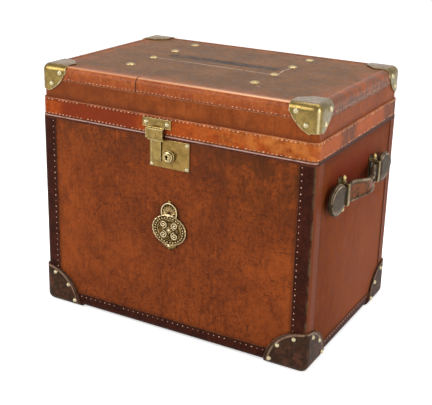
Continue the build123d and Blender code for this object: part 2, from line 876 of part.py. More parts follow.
def knuckle(x_low, x_high, radius, mode=Mode.ADD):
    """Round bar on the hinge axis between two places along X."""
    with Locations(((x_low + x_high) / 2, hinge_y, hinge_z)):
        Cylinder(radius, x_high - x_low, rotation=(0, 90, 0), mode=mode)


with BuildPart() as hinge_body_leaves:
    for x in (-hinge_x, hinge_x):
        low_x = x - hinge_w / 2
        high_x = x + hinge_w / 2
        leaf_low = hinge_z - hinge_body_leaf_h
        box_between((low_x, half_d, leaf_low), (high_x, leaf_face, hinge_z - lid_seam / 2))
        knuckle(low_x, high_x, hinge_knuckle_r)
        gap_low = low_x + knuckle_w - hinge_gap / 2
        gap_high = high_x - knuckle_w + hinge_gap / 2
        knuckle(gap_low, gap_high, swing_r, Mode.SUBTRACT)
        knuckle(low_x - 1, high_x + 1, hinge_pin_r + running_clear, Mode.SUBTRACT)
    add(rim_binding.part, mode=Mode.SUBTRACT)
finish(hinge_body_leaves.part, "hinge_body_leaves")

with BuildPart() as hinge_lid_leaves:
    for x in (-hinge_x, hinge_x):
        low_x = x - hinge_w / 2
        high_x = x + hinge_w / 2
        box_between((low_x, band_face, hinge_z), (high_x, leaf_face, hinge_z + hinge_lid_leaf_h))
        knuckle(low_x - 1, low_x + knuckle_w + hinge_gap / 2, swing_r, Mode.SUBTRACT)
        knuckle(high_x - knuckle_w - hinge_gap / 2, high_x + 1, swing_r, Mode.SUBTRACT)
        knuckle(low_x + knuckle_w + hinge_gap / 2, high_x - knuckle_w - hinge_gap / 2, hinge_knuckle_r)
        knuckle(low_x - 1, high_x + 1, hinge_pin_r + running_clear, Mode.SUBTRACT)
finish(hinge_lid_leaves.part, "hinge_lid_leaves")

with BuildPart() as hinge_pins:
    for x in (-hinge_x, hinge_x):
        knuckle(x - hinge_w / 2, x + hinge_w / 2, hinge_pin_r)
finish(hinge_pins.part, "hinge_pins")

# Keepers on the ends: a plate with lugs, a ball-ended pin and a loop round the strap
strap_in = keeper_pin_stand + keeper_pin_r + strap_clear
strap_out = strap_in + strap_t
loop_in = strap_out + strap_clear
loop_out = loop_in + keeper_loop_t
arm_low = strap_h / 2 + strap_clear
arm_high = arm_low + keeper_loop_t
lug_low = arm_high + slide_clear
lug_high = lug_low + keeper_lug_t
ball_at = lug_high + slide_clear + keeper_ball_r
lug_reach = keeper_pin_stand + keeper_pin_r + lug_wall
eye_r = keeper_pin_r + loop_eye_wall
keeper_places = [
    (sx, handle_y + end * keeper_half_pitch) for sx in sides.values() for end in (-1, 1)
]


def outward_box(sx, low, high):
    """Block whose x is measured outwards from an end face."""
    xs = sorted((sx * (half_w + low[0]), sx * (half_w + high[0])))
    box_between((xs[0], low[1], low[2]), (xs[1], high[1], high[2]))


with BuildPart() as keeper_plates:
    for sx, y in keeper_places:
        half_plate = keeper_plate_w / 2
        outward_box(
            sx, (0, y - half_plate, handle_z - ball_at), (keeper_plate_t, y + half_plate, handle_z + ball_at)
        )
        for up in (-1, 1):
            z_low = handle_z + min(up * lug_low, up * lug_high)
            outward_box(
                sx,
                (keeper_plate_t, y - keeper_ball_r, z_low),
                (lug_reach, y + keeper_ball_r, z_low + keeper_lug_t),
            )
        with Locations((sx * (half_w + keeper_pin_stand), y, handle_z)):
            Cylinder(keeper_pin_r + running_clear, 2 * ball_at, mode=Mode.SUBTRACT)
finish(keeper_plates.part, "keeper_plates")

with BuildPart() as keeper_pins:
    for sx, y in keeper_places:
        with Locations((sx * (half_w + keeper_pin_stand), y, handle_z)):
            Cylinder(keeper_pin_r, 2 * ball_at)
        for up in (-1, 1):
            with Locations((sx * (half_w + keeper_pin_stand), y, handle_z + up * ball_at)):
                Sphere(keeper_ball_r)
finish(keeper_pins.part, "keeper_pins")

with BuildPart() as keeper_loops:
    for sx, y in keeper_places:
        half_loop = keeper_loop_w / 2
        outward_box(
            sx, (loop_in, y - half_loop, handle_z - arm_high), (loop_out, y + half_loop, handle_z + arm_high)
        )
        for up in (-1, 1):
            z_low = handle_z + min(up * arm_low, up * arm_high)
            outward_box(
                sx,
                (keeper_pin_stand - eye_r, y - half_loop, z_low),
                (loop_out, y + half_loop, z_low + keeper_loop_t),
            )
        with Locations((sx * (half_w + keeper_pin_stand), y, handle_z)):
            Cylinder(keeper_pin_r + running_clear, 2 * arm_high, mode=Mode.SUBTRACT)
finish(keeper_loops.part, "keeper_loops")

# Strap handles: a plan outline crossed with a side outline
straight_in = keeper_half_pitch - keeper_loop_w / 2 - strap_play - pad_edge
straight_out = keeper_half_pitch + keeper_plate_w / 2 + strap_play
pad_swell = straight_out + pad_shoulder[0]
pad_out = strap_in + (strap_t + pad_t) / 2
pad_in = pad_out - pad_t
for side_name, sx in sides.items():
    with BuildPart() as handle:
        plan = Plane(origin=(sx * half_w, handle_y, handle_z), x_dir=(0, sx, 0), z_dir=(0, 0, -1))
        with BuildSketch(plan):
            with BuildLine():
                Line((0, strap_in + grip_bow), (0, strap_out + grip_bow + grip_t - strap_t))
                Spline(
                    (0, strap_out + grip_bow + grip_t - strap_t),
                    (straight_in, strap_out),
                    tangents=((1, 0), (1, 0)),
                )
                Polyline(
                    (straight_in, strap_out),
                    (straight_out, strap_out),
                    (pad_swell, pad_out),
                    (pad_end, pad_out - pad_edge),
                    (pad_end, pad_in + pad_edge),
                    (pad_swell, pad_in),
                    (straight_out, strap_in),
                    (straight_in, strap_in),
                )
                Spline(
                    (straight_in, strap_in), (0, strap_in + grip_bow), tangents=((-1, 0), (-1, 0))
                )
            make_face()
            mirror(about=Plane.YZ)
        extrude(amount=pad_h, both=True)
        side_view = Plane(origin=(sx * half_w, handle_y, handle_z), x_dir=(0, 1, 0), z_dir=(1, 0, 0))
        with BuildSketch(side_view, mode=Mode.PRIVATE) as side_outline:
            with BuildLine():
                Line((0, 0), (0, waist_h / 2))
                Spline(
                    (0, waist_h / 2),
                    (straight_in - grip_shoulder, grip_h / 2),
                    (straight_in, strap_h / 2),
                    tangents=((1, 0), (1, -1)),
                )
                Line((straight_in, strap_h / 2), (straight_out, strap_h / 2))
                ThreePointArc(
                    (straight_out, strap_h / 2),
                    (pad_swell, pad_h / 2 - pad_shoulder[1]),
                    (pad_widest, pad_h / 2),
                )
                ThreePointArc(
                    (pad_widest, pad_h / 2),
                    (pad_widest + pad_quarter[0], pad_h / 2 - pad_quarter[1]),
                    (pad_end, 0),
                )
                Line((pad_end, 0), (0, 0))
            make_face()
            mirror(about=Plane.YZ)
            mirror(about=Plane.XZ)
        reach = 4 * keeper_pin_stand + grip_bow + pad_t
        extrude(side_outline.sketch, amount=reach, both=True, mode=Mode.INTERSECT)
    finish(handle.part, f"handle_{side_name}")

# Cast ornament: an oval boss in a raised rim, a fan of petals above it and a leaf below
ornament_plane = Plane(origin=(ornament_x, -half_d, ornament_z), x_dir=(1, 0, 0), z_dir=(0, -1, 0))
fan_root = ornament_half_h - petal_overlap
with BuildPart() as front_ornament:
    with BuildSketch(ornament_plane):
        Ellipse(ornament_half_w, ornament_half_h)
        for step in range(petal_count):
            turn = (step - (petal_count - 1) / 2) * petal_spread
            with Locations(Pos(0, fan_root) * Rot(0, 0, -turn) * Pos(0, petal_half_l * petal_seat)):
                Ellipse(petal_half_w, petal_half_l)
        with Locations((0, -ornament_half_h - petal_overlap)):
            Ellipse(petal_half_w, petal_half_l * leaf_share)
    extrude(amount=ornament_t)
    with BuildSketch(ornament_plane.offset(ornament_t)):
        Ellipse(ornament_half_w, ornament_half_h)
        Ellipse(ornament_half_w - ornament_rim, ornament_half_h - ornament_rim, mode=Mode.SUBTRACT)
    extrude(amount=ornament_rim_rise)
    boss_w = ornament_half_w - 2 * ornament_rim
    boss_h = ornament_half_h - 2 * ornament_rim
    for lift, share in ((ornament_t - boss_sunk, 1.0), (ornament_t + ornament_rim_rise, boss_share)):
        with BuildSketch(ornament_plane.offset(lift)):
            Ellipse(boss_w * share, boss_h * share)
    loft()
finish(front_ornament.part, "front_ornament")
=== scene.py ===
"""Looks of the leather trunk: worn hides, stitched bindings, aged brass, straps and an ornament."""

import json
from math import cos, exp, pi, radians, sin

import bmesh
import bpy
from mathutils import Matrix, Vector

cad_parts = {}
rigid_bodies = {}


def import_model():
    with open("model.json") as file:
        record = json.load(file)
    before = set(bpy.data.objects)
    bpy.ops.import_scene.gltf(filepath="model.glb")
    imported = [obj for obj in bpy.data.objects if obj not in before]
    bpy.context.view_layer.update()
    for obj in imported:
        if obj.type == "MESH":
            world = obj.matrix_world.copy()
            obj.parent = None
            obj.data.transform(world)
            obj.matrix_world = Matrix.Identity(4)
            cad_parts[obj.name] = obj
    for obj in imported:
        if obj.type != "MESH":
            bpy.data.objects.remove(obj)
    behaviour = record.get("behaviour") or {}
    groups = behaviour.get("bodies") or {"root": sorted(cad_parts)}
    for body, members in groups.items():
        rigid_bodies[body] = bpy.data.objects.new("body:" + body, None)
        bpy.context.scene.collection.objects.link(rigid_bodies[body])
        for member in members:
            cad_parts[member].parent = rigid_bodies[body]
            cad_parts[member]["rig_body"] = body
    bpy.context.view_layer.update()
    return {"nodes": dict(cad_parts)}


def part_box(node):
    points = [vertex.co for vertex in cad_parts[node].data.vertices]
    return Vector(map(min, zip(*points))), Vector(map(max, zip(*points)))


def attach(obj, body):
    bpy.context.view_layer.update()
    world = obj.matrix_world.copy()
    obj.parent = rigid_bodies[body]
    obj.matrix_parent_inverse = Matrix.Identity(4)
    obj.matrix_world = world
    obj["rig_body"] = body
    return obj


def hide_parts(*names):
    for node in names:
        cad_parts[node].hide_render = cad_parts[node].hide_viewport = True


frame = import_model()
nodes = frame["nodes"]
MM = 0.001
# Points of a solid nearer than this, in metres, are one point
double_gap = 0.00001


# Sizes read from the solids
def box_mm(name):
    """Lowest and highest corner of a solid, in millimetres."""
    low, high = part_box(name)
    return low / MM, high / MM


hide_x, hide_y = box_mm("right_leather")[1].x, box_mm("back_leather")[1].y
panel_x, panel_y = box_mm("front_leather")[1].x, box_mm("right_leather")[1].y
bound_x = box_mm("corner_binding_front_right")[1].x
bound_y = box_mm("corner_binding_back_right")[1].y
foot_top = box_mm("base_binding")[1].z
rim_z = box_mm("rim_binding")[1].z
band_low, band_high = box_mm("rim_band")
top_low, top_high = box_mm("top_edge_binding")
lid_high = box_mm("lid_side_leather")[1]
inner_high = box_mm("lid_top_leather")[1]
cap_high = box_mm("base_cap_back_right")[1]
corner_high = box_mm("lid_corner_back_right")[1]
cast_low, cast_high = box_mm("front_ornament")
cast_x = (cast_low.x + cast_high.x) / 2
plate_front = box_mm("lock_plate")[0].y
hood_front = box_mm("hasp")[0].y
# The hood's top lies 3 mm under the hasp's highest point
hood_top = box_mm("hasp")[1].z - 3
# Place of the butt seam in the top binding
seam_x = -61.0


# Shader helpers
def colour(code):
    """Linear colour of an sRGB hex value."""
    parts = [int(code[i : i + 2], 16) / 255 for i in (1, 3, 5)]
    linear = [c / 12.92 if c <= 0.04045 else ((c + 0.055) / 1.055) ** 2.4 for c in parts]
    return (*linear, 1.0)


def put(tree, kind, inputs=None, out=0, **settings):
    """Adds a node and returns one of its outputs, or the node when out is None.

    An input is another node's output, a value or a hex colour."""
    node = tree.nodes.new(kind)
    for key, value in settings.items():
        setattr(node, key, value)
    for key, value in (inputs or {}).items():
        socket = node.inputs[key]
        if isinstance(value, bpy.types.NodeSocket):
            tree.links.new(value, socket)
        else:
            socket.default_value = colour(value) if str(value).startswith("#") else value
    return node if out is None else node.outputs[out]


class Finish:
    """A material with its Principled shader and short words for the usual steps of a pattern."""

    def __init__(self, name, **shader):
        self.material = bpy.data.materials.new(name)
        self.material.use_nodes = True
        self.tree = self.material.node_tree
        self.shader = self.tree.nodes["Principled BSDF"]
        for key, value in shader.items():
            self.shader.inputs[key.replace("_", " ")].default_value = value
        self.place = self.add("TexCoord", out="Object")
        split = self.add("SeparateXYZ", {0: self.place}, out=None)
        self.x, self.y, self.z = split.outputs

    def add(self, kind, inputs=None, **settings):
        """Adds a shader node to this material."""
        return put(self.tree, "ShaderNode" + kind, inputs, **settings)

    def noise(self, size_mm, detail=4.0, rough=0.6, stretch=(1, 1, 1), turn=0.0, shift=0.0):
        """Noise whose blotches are about size_mm across."""
        made = {
            "Vector": self.place,
            "Location": (shift, shift * 0.7, shift * 0.3),
            "Rotation": (0, turn, turn),
            "Scale": tuple(s / (size_mm * MM) for s in stretch),
        }
        where = self.add("Mapping", made)
        made = {"Vector": where, "Scale": 1.0, "Detail": detail, "Roughness": rough}
        return self.add("TexNoise", made, out="Fac")

    def blotch(self, size_mm, low, high, shift=0.0, detail=5, rough=0.7):
        """Ragged patches of noise, 0 outside and 1 inside."""
        return self.ramp(self.noise(size_mm, detail, rough, shift=shift), low, high)

    def both(self, *masks):
        """Product of masks and shares."""
        made = masks[0]
        for mask in masks[1:]:
            made = self.add("Math", {0: made, 1: mask}, operation="MULTIPLY")
        return made

    def either(self, a, b):
        """The stronger of two masks."""
        return self.add("Math", {0: a, 1: b}, operation="MAXIMUM")

    def plus(self, a, b):
        return self.add("Math", {0: a, 1: b}, operation="ADD")

    def less(self, a, b):
        return self.add("Math", {0: a, 1: b}, operation="SUBTRACT")

    def off(self, axis):
        """Distance from the middle, on either side."""
        return self.add("Math", {0: axis}, operation="ABSOLUTE")

    def ramp(self, value, low, high, out_low=0.0, out_high=1.0):
        """Soft step between two values, from out_low to out_high."""
        made = {"Value": value, "From Min": low, "From Max": high, "To Min": out_low, "To Max": out_high}
        return self.add("MapRange", made, interpolation_type="SMOOTHSTEP")

    def mix(self, share, first, second):
        """Blend of two colours."""
        return self.add("Mix", {0: share, 6: first, 7: second}, out=2, data_type="RGBA")

    def tint(self, code, share, *masks):
        """Lays a colour over the tone where all the masks are."""
        self.tone = self.mix(self.both(*masks, share), self.tone, code)

    def near(self, axis, at_mm, half_mm, soft_mm):
        """1 within half_mm of a plane across an axis, 0 outside the soft edge."""
        gap = self.off(self.less(axis, at_mm * MM))
        return self.ramp(gap, half_mm * MM, (half_mm + soft_mm) * MM, 1.0, 0.0)

    def past(self, axis, at_mm, soft_mm):
        """0 below a place along an axis and 1 above it."""
        return self.ramp(axis, (at_mm - soft_mm) * MM, at_mm * MM)

    def until(self, axis, at_mm, end_mm):
        """1 up to a place along an axis and 0 past its end."""
        return self.ramp(axis, at_mm * MM, end_mm * MM, 1.0, 0.0)

    def streak(self, start, end, half_mm, soft_mm):
        """1 along a straight line on the top face, from start to end in millimetres."""
        a = Vector((*start, 0)) * MM
        d = Vector((*end, 0)) * MM - a
        from_a = self.add("VectorMath", {0: self.place, 1: tuple(a)}, operation="SUBTRACT")
        flat = self.add("VectorMath", {0: from_a, 1: (1, 1, 0)}, operation="MULTIPLY")
        along = self.add("VectorMath", {0: flat, 1: tuple(d)}, operation="DOT_PRODUCT", out="Value")
        share = self.add("Math", {0: along, 1: d.length_squared}, operation="DIVIDE", use_clamp=True)
        foot = self.add("VectorMath", {0: tuple(d), "Scale": share}, operation="SCALE")
        gap = self.add("VectorMath", {0: flat, 1: foot}, operation="DISTANCE", out="Value")
        return self.ramp(gap, half_mm * MM, (half_mm + soft_mm) * MM, 1.0, 0.0)

    def edges(self, radius_mm):
        """1 on corners and edges, from how far a rounded normal leans from the true one."""
        rounded = self.add("Bevel", {"Radius": radius_mm * MM}, samples=6)
        true = self.add("NewGeometry", out="True Normal")
        facing = self.add("VectorMath", {0: rounded, 1: true}, operation="DOT_PRODUCT", out="Value")
        return self.ramp(self.less(1.0, facing), 0.02, 0.3)

    def bump(self, *layers):
        """Stacks relief layers, each a height and its depth in millimetres."""
        normal = None
        for height, depth_mm in layers:
            under = {"Normal": normal} if normal else {}
            made = {"Height": height, "Distance": depth_mm * MM, "Strength": 1.0, **under}
            normal = self.add("Bump", made)
        self.tree.links.new(normal, self.shader.inputs["Normal"])

    def give(self, key, value):
        """Leads a pattern into the shader."""
        self.tree.links.new(value, self.shader.inputs[key])


def hide(
    name, base, deep, pale, mottle_mm=55, seed=0.0, gloss=0.42, wear="#C07A4A", wear_share=0.6, wear_mm=2.5,
    spots=0.5, shine=0.12, depth=0.8, extra=None,
):
    """Vegetable-tanned hide, dyed, waxed and rubbed: mottled, with dark specks and scratches."""
    f = Finish(name, Roughness=gloss, IOR=1.45, Specular_IOR_Level=shine)
    cloud = f.noise(mottle_mm, 5, 0.62, shift=seed)
    patch = f.noise(mottle_mm / 4, 6, 0.7, shift=seed + 3)
    fine = f.noise(5, 5, 0.75, shift=seed + 9)
    # Wipe marks of the waxing cloth run down the panel
    wipe = f.noise(mottle_mm / 6, 4, 0.6, stretch=(1.6, 1.6, 0.3), turn=0.12, shift=seed + 7)
    f.tone = f.mix(f.ramp(cloud, 0.38, 0.62, 1 - depth, 1.0), deep, base)
    f.tint(pale, 0.6 * depth, f.ramp(patch, 0.46, 0.66))
    f.tint(deep, 0.4, f.ramp(wipe, 0.52, 0.34))
    f.tint(deep, 0.75 * spots, f.ramp(fine, 0.5, 0.36))
    f.tint(pale, 0.45 * spots, f.ramp(fine, 0.54, 0.68))
    # Specks of grease and rust, 1 to 3 mm across, in loose groups
    speck = f.both(f.blotch(4.0, 0.61, 0.68, seed + 11, 2, 0.5), f.ramp(patch, 0.55, 0.42))
    f.tint("#2A140C", 0.6 * spots, speck)
    speckle = f.noise(2.2, 3, 0.7, shift=seed + 29)
    f.tint("#3A1C10", 0.5 * spots, f.ramp(speckle, 0.5, 0.3))
    # Scratches are the thin level lines of stretched noises
    for turn, long in (
        (0.5, (0.25, 0.25, 1.6)), (-0.9, (1.5, 1.5, 0.2)), (1.3, (0.6, 0.6, 0.3)), (0.9, (1.7, 1.7, 0.7)),
    ):
        level = f.noise(26, 2, 0.4, stretch=long, turn=turn, shift=seed + 17 + turn)
        line = f.ramp(f.off(f.less(level, 0.5)), 0.003, 0.011, 1.0, 0.0)
        broken = f.both(line, f.blotch(14, 0.48, 0.6, seed + 23 + turn, 2, 0.5))
        f.tint("#35190F" if turn > 0 else pale, 0.6 * spots, broken)
    if extra:
        extra(f)
    # Rubbed edges have lost their dye
    rubbed = f.both(f.edges(wear_mm), f.blotch(9, 0.35, 0.6, seed + 5))
    f.tint(wear, wear_share, rubbed)
    f.give("Base Color", f.tone)
    grain = f.noise(1.6, 3, 0.6, shift=seed)
    f.give("Roughness", f.plus(f.ramp(patch, 0.3, 0.7, gloss - 0.07, gloss + 0.1), f.both(grain, 0.06)))
    # Real pores of 0.3 mm are too fine to show, so the grain is drawn at 1.6 mm
    f.bump((cloud, 0.9), (patch, 0.35), (fine, 0.12), (grain, 0.1))
    return f.material


def old_brass(name, base, dark, bright, rough=0.3, seed=0.0, wear_mm=1.2, relief=1.0, extra=None):
    """Rolled or cast brass, lacquer gone: brown in the hollows, bright at the edges, partly polished by
    hands and partly a painted highlight.
    """
    f = Finish(name, Metallic=1.0, Roughness=rough)
    cloud = f.noise(13, 5, 0.65, shift=seed)
    stain = f.noise(4, 5, 0.7, shift=seed + 2)
    f.tone = f.mix(f.ramp(cloud, 0.38, 0.62), dark, base)
    f.tint(base, 0.55)
    f.tint(dark, 0.6, f.ramp(stain, 0.58, 0.72))
    # Bright edges: partly polish, partly painted highlight
    f.tint(bright, 0.85, f.edges(wear_mm))
    if extra:
        extra(f)
    f.give("Base Color", f.tone)
    f.give("Roughness", f.ramp(stain, 0.3, 0.75, rough - 0.08, rough + 0.16))
    # Hand-beaten unevenness and fine pitting
    f.bump((cloud, 0.2 * relief), (f.noise(1.2, 3, 0.6, shift=seed), 0.025 * relief))
    return f.material


# Materials
# Places are in millimetres from the middle: x to the right, y to the back and z up from the floor;
# only ramp takes an axis in metres. The fronts lie near y = -165, the ends near x = -240 and 240.
def front_marks(f):
    """Dye worn to orange beside the bindings, darker under the rim and down the middle."""
    loose = f.blotch(34, 0.36, 0.62, 51)
    dark = f.both(f.near(f.x, 10, 60, 110), f.past(f.z, 190, 110))
    f.tint("#592A17", 0.25, dark, loose)
    f.tint("#4C2A18", 0.6, f.past(f.z, rim_z - 12, 60), loose)
    # Grease gathered round the ornament and stained the upper right of the panel
    round_cast = f.both(f.near(f.x, cast_x, 16, 16), f.near(f.z, (cast_low.z + cast_high.z) / 2, 26, 16))
    stained = f.both(f.past(f.x, 150, 120), f.past(f.z, 270, 70))
    f.tint("#42240F", 0.5, round_cast)
    f.tint("#42240F", 0.5, stained, loose)
    for at, half, low, high in ((-200, 14, 60, 290), (185, 20, 50, 190), (-90, 40, 70, 150)):
        level = f.near(f.z, (low + high) / 2, (high - low) / 2 - 30, 60)
        f.tint("#A04E1E", 0.35, f.near(f.x, at, half, 45), level, loose)
    f.tint(
        "#401D10", 0.45,
        f.either(f.past(f.off(f.x), panel_x + 1, 9), f.until(f.z, foot_top - 1, foot_top + 8)),
    )


def end_marks(f):
    """Dark red painted shadow of the handle on the hide behind it, browner below."""
    # Painted shadow of the handle: dark red on the panel behind the strap
    handle_shadow_y = f.near(f.y, -20, 50, 70)
    f.tint("#641F12", 0.8, handle_shadow_y, f.near(f.z, rim_z - 55, 12, 45))
    # The panel pales to tan towards the lower back
    tan = f.both(f.past(f.y, 60, 200), f.ramp(f.z, 0.08, 0.3, 1.0, 0.35))
    f.tint("#96553A", 0.45, tan)
    f.tint("#4A2014", 0.4, f.either(f.past(f.off(f.y), panel_y + 1, 10), f.past(f.z, rim_z - 6, 16)))


def top_marks(f):
    """Scuffed strip between the rivets, a long bright scratch, warm worn margins."""
    hatch = f.noise(4.5, 4, 0.8, stretch=(1.6, 0.5, 1), shift=4)
    f.tint("#1C1410", 0.95, f.streak((-104, 21), (76, 20), 7, 9), f.ramp(hatch, 0.38, 0.52))
    nick = f.blotch(16, 0.36, 0.5, 0, 3, 0.6)
    for start, end in (
        ((-118, -13), (-30, -14)), ((-30, -14), (90, -17)), ((101, -6), (97, 18)), ((97, 18), (99, 44)),
        ((108, -96), (120, -106)),
    ):
        f.tint("#BBA68C", 0.7, f.streak(start, end, 0.5, 1.5), nick)
    loose = f.blotch(26, 0.35, 0.6, 52)
    edge = f.either(f.past(f.off(f.x), inner_high.x + 4, 46), f.past(f.off(f.y), inner_high.y + 4, 40))
    f.tint("#95502C", 0.6, edge, loose)


def band_marks(f):
    """Handled patches on the right end of the band, a painted highlight along the upper edge, a darker line
    at the upper stitches that is partly dirt and partly painted shade, and a painted shadow along the lower
    edge.
    """
    ragged = f.both(f.less(f.noise(22, 5, 0.7, shift=2), 0.5), 0.05)
    where = f.plus(f.y, ragged)
    dark = f.either(f.near(where, -50, 18, 24), f.past(where, 112, 26))
    smudged = f.ramp(f.noise(9, 4, 0.7, stretch=(1, 1, 0.4), turn=0.6, shift=74), 0.36, 0.58, 0.5, 1.0)
    right_end = f.past(f.x, hide_x - 4, 6)
    f.tint("#B4683C", 0.35, right_end)
    f.tint("#573628", 0.85, dark, smudged, right_end)
    # The front band is redder to the left of the lock
    front = f.until(f.y, -160, -150)
    f.tint("#742A10", 0.85, f.near(f.x, -130, 62, 24), front)
    f.tint("#C87A38", 0.6, f.past(f.x, 190, 200), front, f.blotch(24, 0.38, 0.6, 72, 4, 0.6))
    # Painted highlight: a pale line along the band's upper edge
    f.tint("#D9946A", 0.35, f.past(f.z, band_high.z - 0.6, 1.2))
    # Darker along the upper stitches: partly dirt, partly painted shade
    f.tint("#5A2410", 0.5, f.near(f.z, band_high.z - 2.4, 1.8, 1.4), f.blotch(20, 0.42, 0.6, 73, 4))
    # Painted shadow: a near-black line along the band's lower edge
    f.tint("#1A0A06", 0.85, f.until(f.z, band_low.z + 0.9, band_low.z + 2.2))


def top_binding_marks(f):
    """Bright orange on the front edge with a painted highlight along its arris, greyed on the others; a butt
    seam near the left.
    """
    front = f.until(f.y, -152, -142)
    loose = f.blotch(18, 0.36, 0.58, 9)
    other = f.less(1.0, front)
    f.tint("#5E4030", 0.75, other, loose)
    # Creases of handling run down the upright face of the ends
    crease = f.noise(5, 4, 0.6, stretch=(1, 1.2, 0.25), shift=5)
    f.tint(
        f.mix(f.ramp(crease, 0.4, 0.6), "#2E211B", "#6E5242"), 0.85, f.past(f.x, lid_high.x + 1.5, 1.5),
        f.near(f.z, top_low.z + 3.5, 4, 2.5),
    )
    flat = f.both(f.past(f.z, top_high.z - 0.2, 0.4), front)
    f.tint("#74371C", 0.7, flat)
    f.tint("#8A3C16", 0.5, f.near(f.z, top_low.z + 6.5, 2.0, 2.5), front, loose)
    # Painted highlight: a pale line along the front arris, stronger towards the right
    f.tint("#E6B48C", 1, f.near(f.z, top_high.z - 1.1, 0.4, 0.9), f.ramp(f.x, -0.1, 0.16, 0.4, 0.85), front)
    # Left and back edges are greyed like the top
    f.tint("#4E3828", 0.85, f.either(f.until(f.x, -236, -230), f.past(f.y, lid_high.y - 1, 4)))
    f.tint("#3A190E", 0.9, f.near(f.x, seam_x, 0.6, 1.0), front)
    f.tint("#5E2C18", 0.6, f.until(f.z, top_low.z + 0.5, top_low.z + 4.5))


def lid_side_marks(f):
    """Grey creased hide under the top binding at the right end."""
    crease = f.noise(5, 4, 0.6, stretch=(1, 1.2, 0.25), shift=5)
    side = f.past(f.x, lid_high.x - 3, 4)
    zone = f.both(side, f.past(f.z, top_low.z, 5))
    grey = f.mix(f.ramp(crease, 0.42, 0.6), "#35261F", "#7E6252")
    f.tint(grey, 0.9, zone)
    # The front is deeper red towards the left end
    f.tint("#6E3418", 0.5, f.until(f.x, -230, 20), f.until(f.y, -155, -150))
    low = f.both(f.until(f.z, band_high.z, band_high.z + 12), f.blotch(28, 0.3, 0.55, 71, 4))
    f.tint("#562818", 0.5, low)


def strap_marks(f):
    """Orange hide in the sunk face of the grip, pale wax on the rubbed rolls, painted shade in the steps of
    the pad.
    """
    sunk = f.add("Attribute", attribute_name="sunk", out="Fac")
    rubbed = f.add("Attribute", attribute_name="rubbed", out="Fac")
    loose = f.blotch(9, 0.3, 0.55, 53)
    f.tint("#84492E", 0.8, sunk, loose)
    worn = f.blotch(15, 0.34, 0.6, 54)
    # Painted shade in the steps of the pad's rim
    f.tint("#1C150E", 1, f.ramp(rubbed, -0.9, -0.1, 0.8, 0.0))
    f.tint("#B9A288", 0.85, f.either(f.both(rubbed, worn), 0.0))


def binding_marks(f):
    """A greyed line down each corner, partly where the dye is rubbed through to the wax and partly a painted
    highlight.
    """
    at_x = f.past(f.off(f.x), hide_x - 1, 4)
    at_y = f.past(f.off(f.y), hide_y - 1, 4)
    broken = f.blotch(20, 0.38, 0.6, 0, 4)
    line = f.both(at_x, at_y, broken)
    # The ends are worn as pale as the panel there, with a dark line at the strip's edge
    end = f.both(f.past(f.off(f.x), hide_x - 0.5, 1.5), f.past(f.z, foot_top, 10))
    f.tint("#763A20", 0.85, end)
    rim = f.both(end, f.until(f.off(f.y), panel_y + 0.5, panel_y + 2.5))
    f.tint("#3A1A10", 0.7, rim)
    # Greyed corner line: partly rubbed, partly a painted highlight
    f.tint("#655038", 0.7, line)


def rim_marks(f):
    """The roll's upper edge is pale along the front in longer and shorter runs, partly rubbed and partly a
    painted highlight; the rest of the roll is painted dark as shade.
    """
    front = f.ramp(f.y, -0.163, -0.158, 1.0, 0.06)
    broken = f.ramp(f.noise(30, 4, 0.7, shift=6), 0.3, 0.5, 0.45, 1.0)
    roll = f.both(f.past(f.z, rim_z - 1.3, 0.8), front, broken)
    # Painted shade: the roll darkened on the ends and back
    f.tint("#3A1A0D", 1, f.ramp(f.y, -0.163, -0.158, 0.0, 0.9))
    # Pale upper edge along the front: partly rubbed, partly a painted highlight
    f.tint("#C39C90", 0.85, roll)


def corner_marks(f):
    """Top of the corner darkened, partly tarnish and partly a painted dark reflection, and cross-scratched;
    a painted highlight down its upright fold.
    """
    stain = f.blotch(9, 0.5, 0.66, 81, 5, 0.65)
    f.tint("#5E5230", 0.45, stain)
    top = f.past(f.z, corner_high.z - 0.3, 0.6)
    # Dark top: partly tarnish, partly a painted dark reflection
    f.tint("#54391F", 0.9, top)
    for turn in (0.7, -0.8):
        level = f.noise(5, 2, 0.4, stretch=(0.3, 1.5, 1), turn=turn, shift=82 + turn)
        line = f.ramp(f.off(f.less(level, 0.5)), 0.01, 0.035, 1.0, 0.0)
        f.tint("#C8A870", 0.35, line, top)
    # Tarnish there is a brown film, hardly metallic; the end lobes have a thinner, olive one
    lobe = f.past(f.off(f.x), corner_high.x - 0.3, 0.6)
    f.tint("#766A34", 0.5, lobe)
    film = f.either(f.both(top, 0.95), f.both(lobe, 0.5))
    f.give("Metallic", f.less(1.0, film))
    # Painted highlight down the upright fold
    f.tint(
        "#F0E2B4", 0.4, f.past(f.off(f.x), corner_high.x - 3, 3), f.past(f.off(f.y), corner_high.y - 3, 3),
    )


def hasp_marks(f):
    """The hood's top is made dull and pale: a painted highlight."""
    hood_highlight = f.both(f.past(f.z, hood_top, 1.2), f.until(f.y, hood_front + 1, hood_front + 3))
    # Painted highlight on the hood's top: less metallic and pale
    f.give("Metallic", f.less(1.0, f.both(hood_highlight, 0.7)))
    f.tint("#D8CC98", 0.8, hood_highlight)


def cast_marks(f):
    """A casting keeps dark wax in its punched ground, deepened by painted shade, and is bright on the raised
    work, partly rubbed and partly a painted highlight.
    """
    height = f.less(-hide_y * MM, f.y)
    ground = f.mix(f.blotch(2.4, 0.44, 0.6, 77, 2, 0.5), "#2A1E0E", "#6E5630")
    # Low ground darker: partly dark wax, partly painted shade
    f.tone = f.mix(f.ramp(height, 0.0017, 0.0028), ground, f.tone)
    # Raised work brighter: partly rubbed, partly a painted highlight
    f.tint("#E2D0A8", 1, f.ramp(height, 0.0031, 0.0042, 0.0, 0.85))


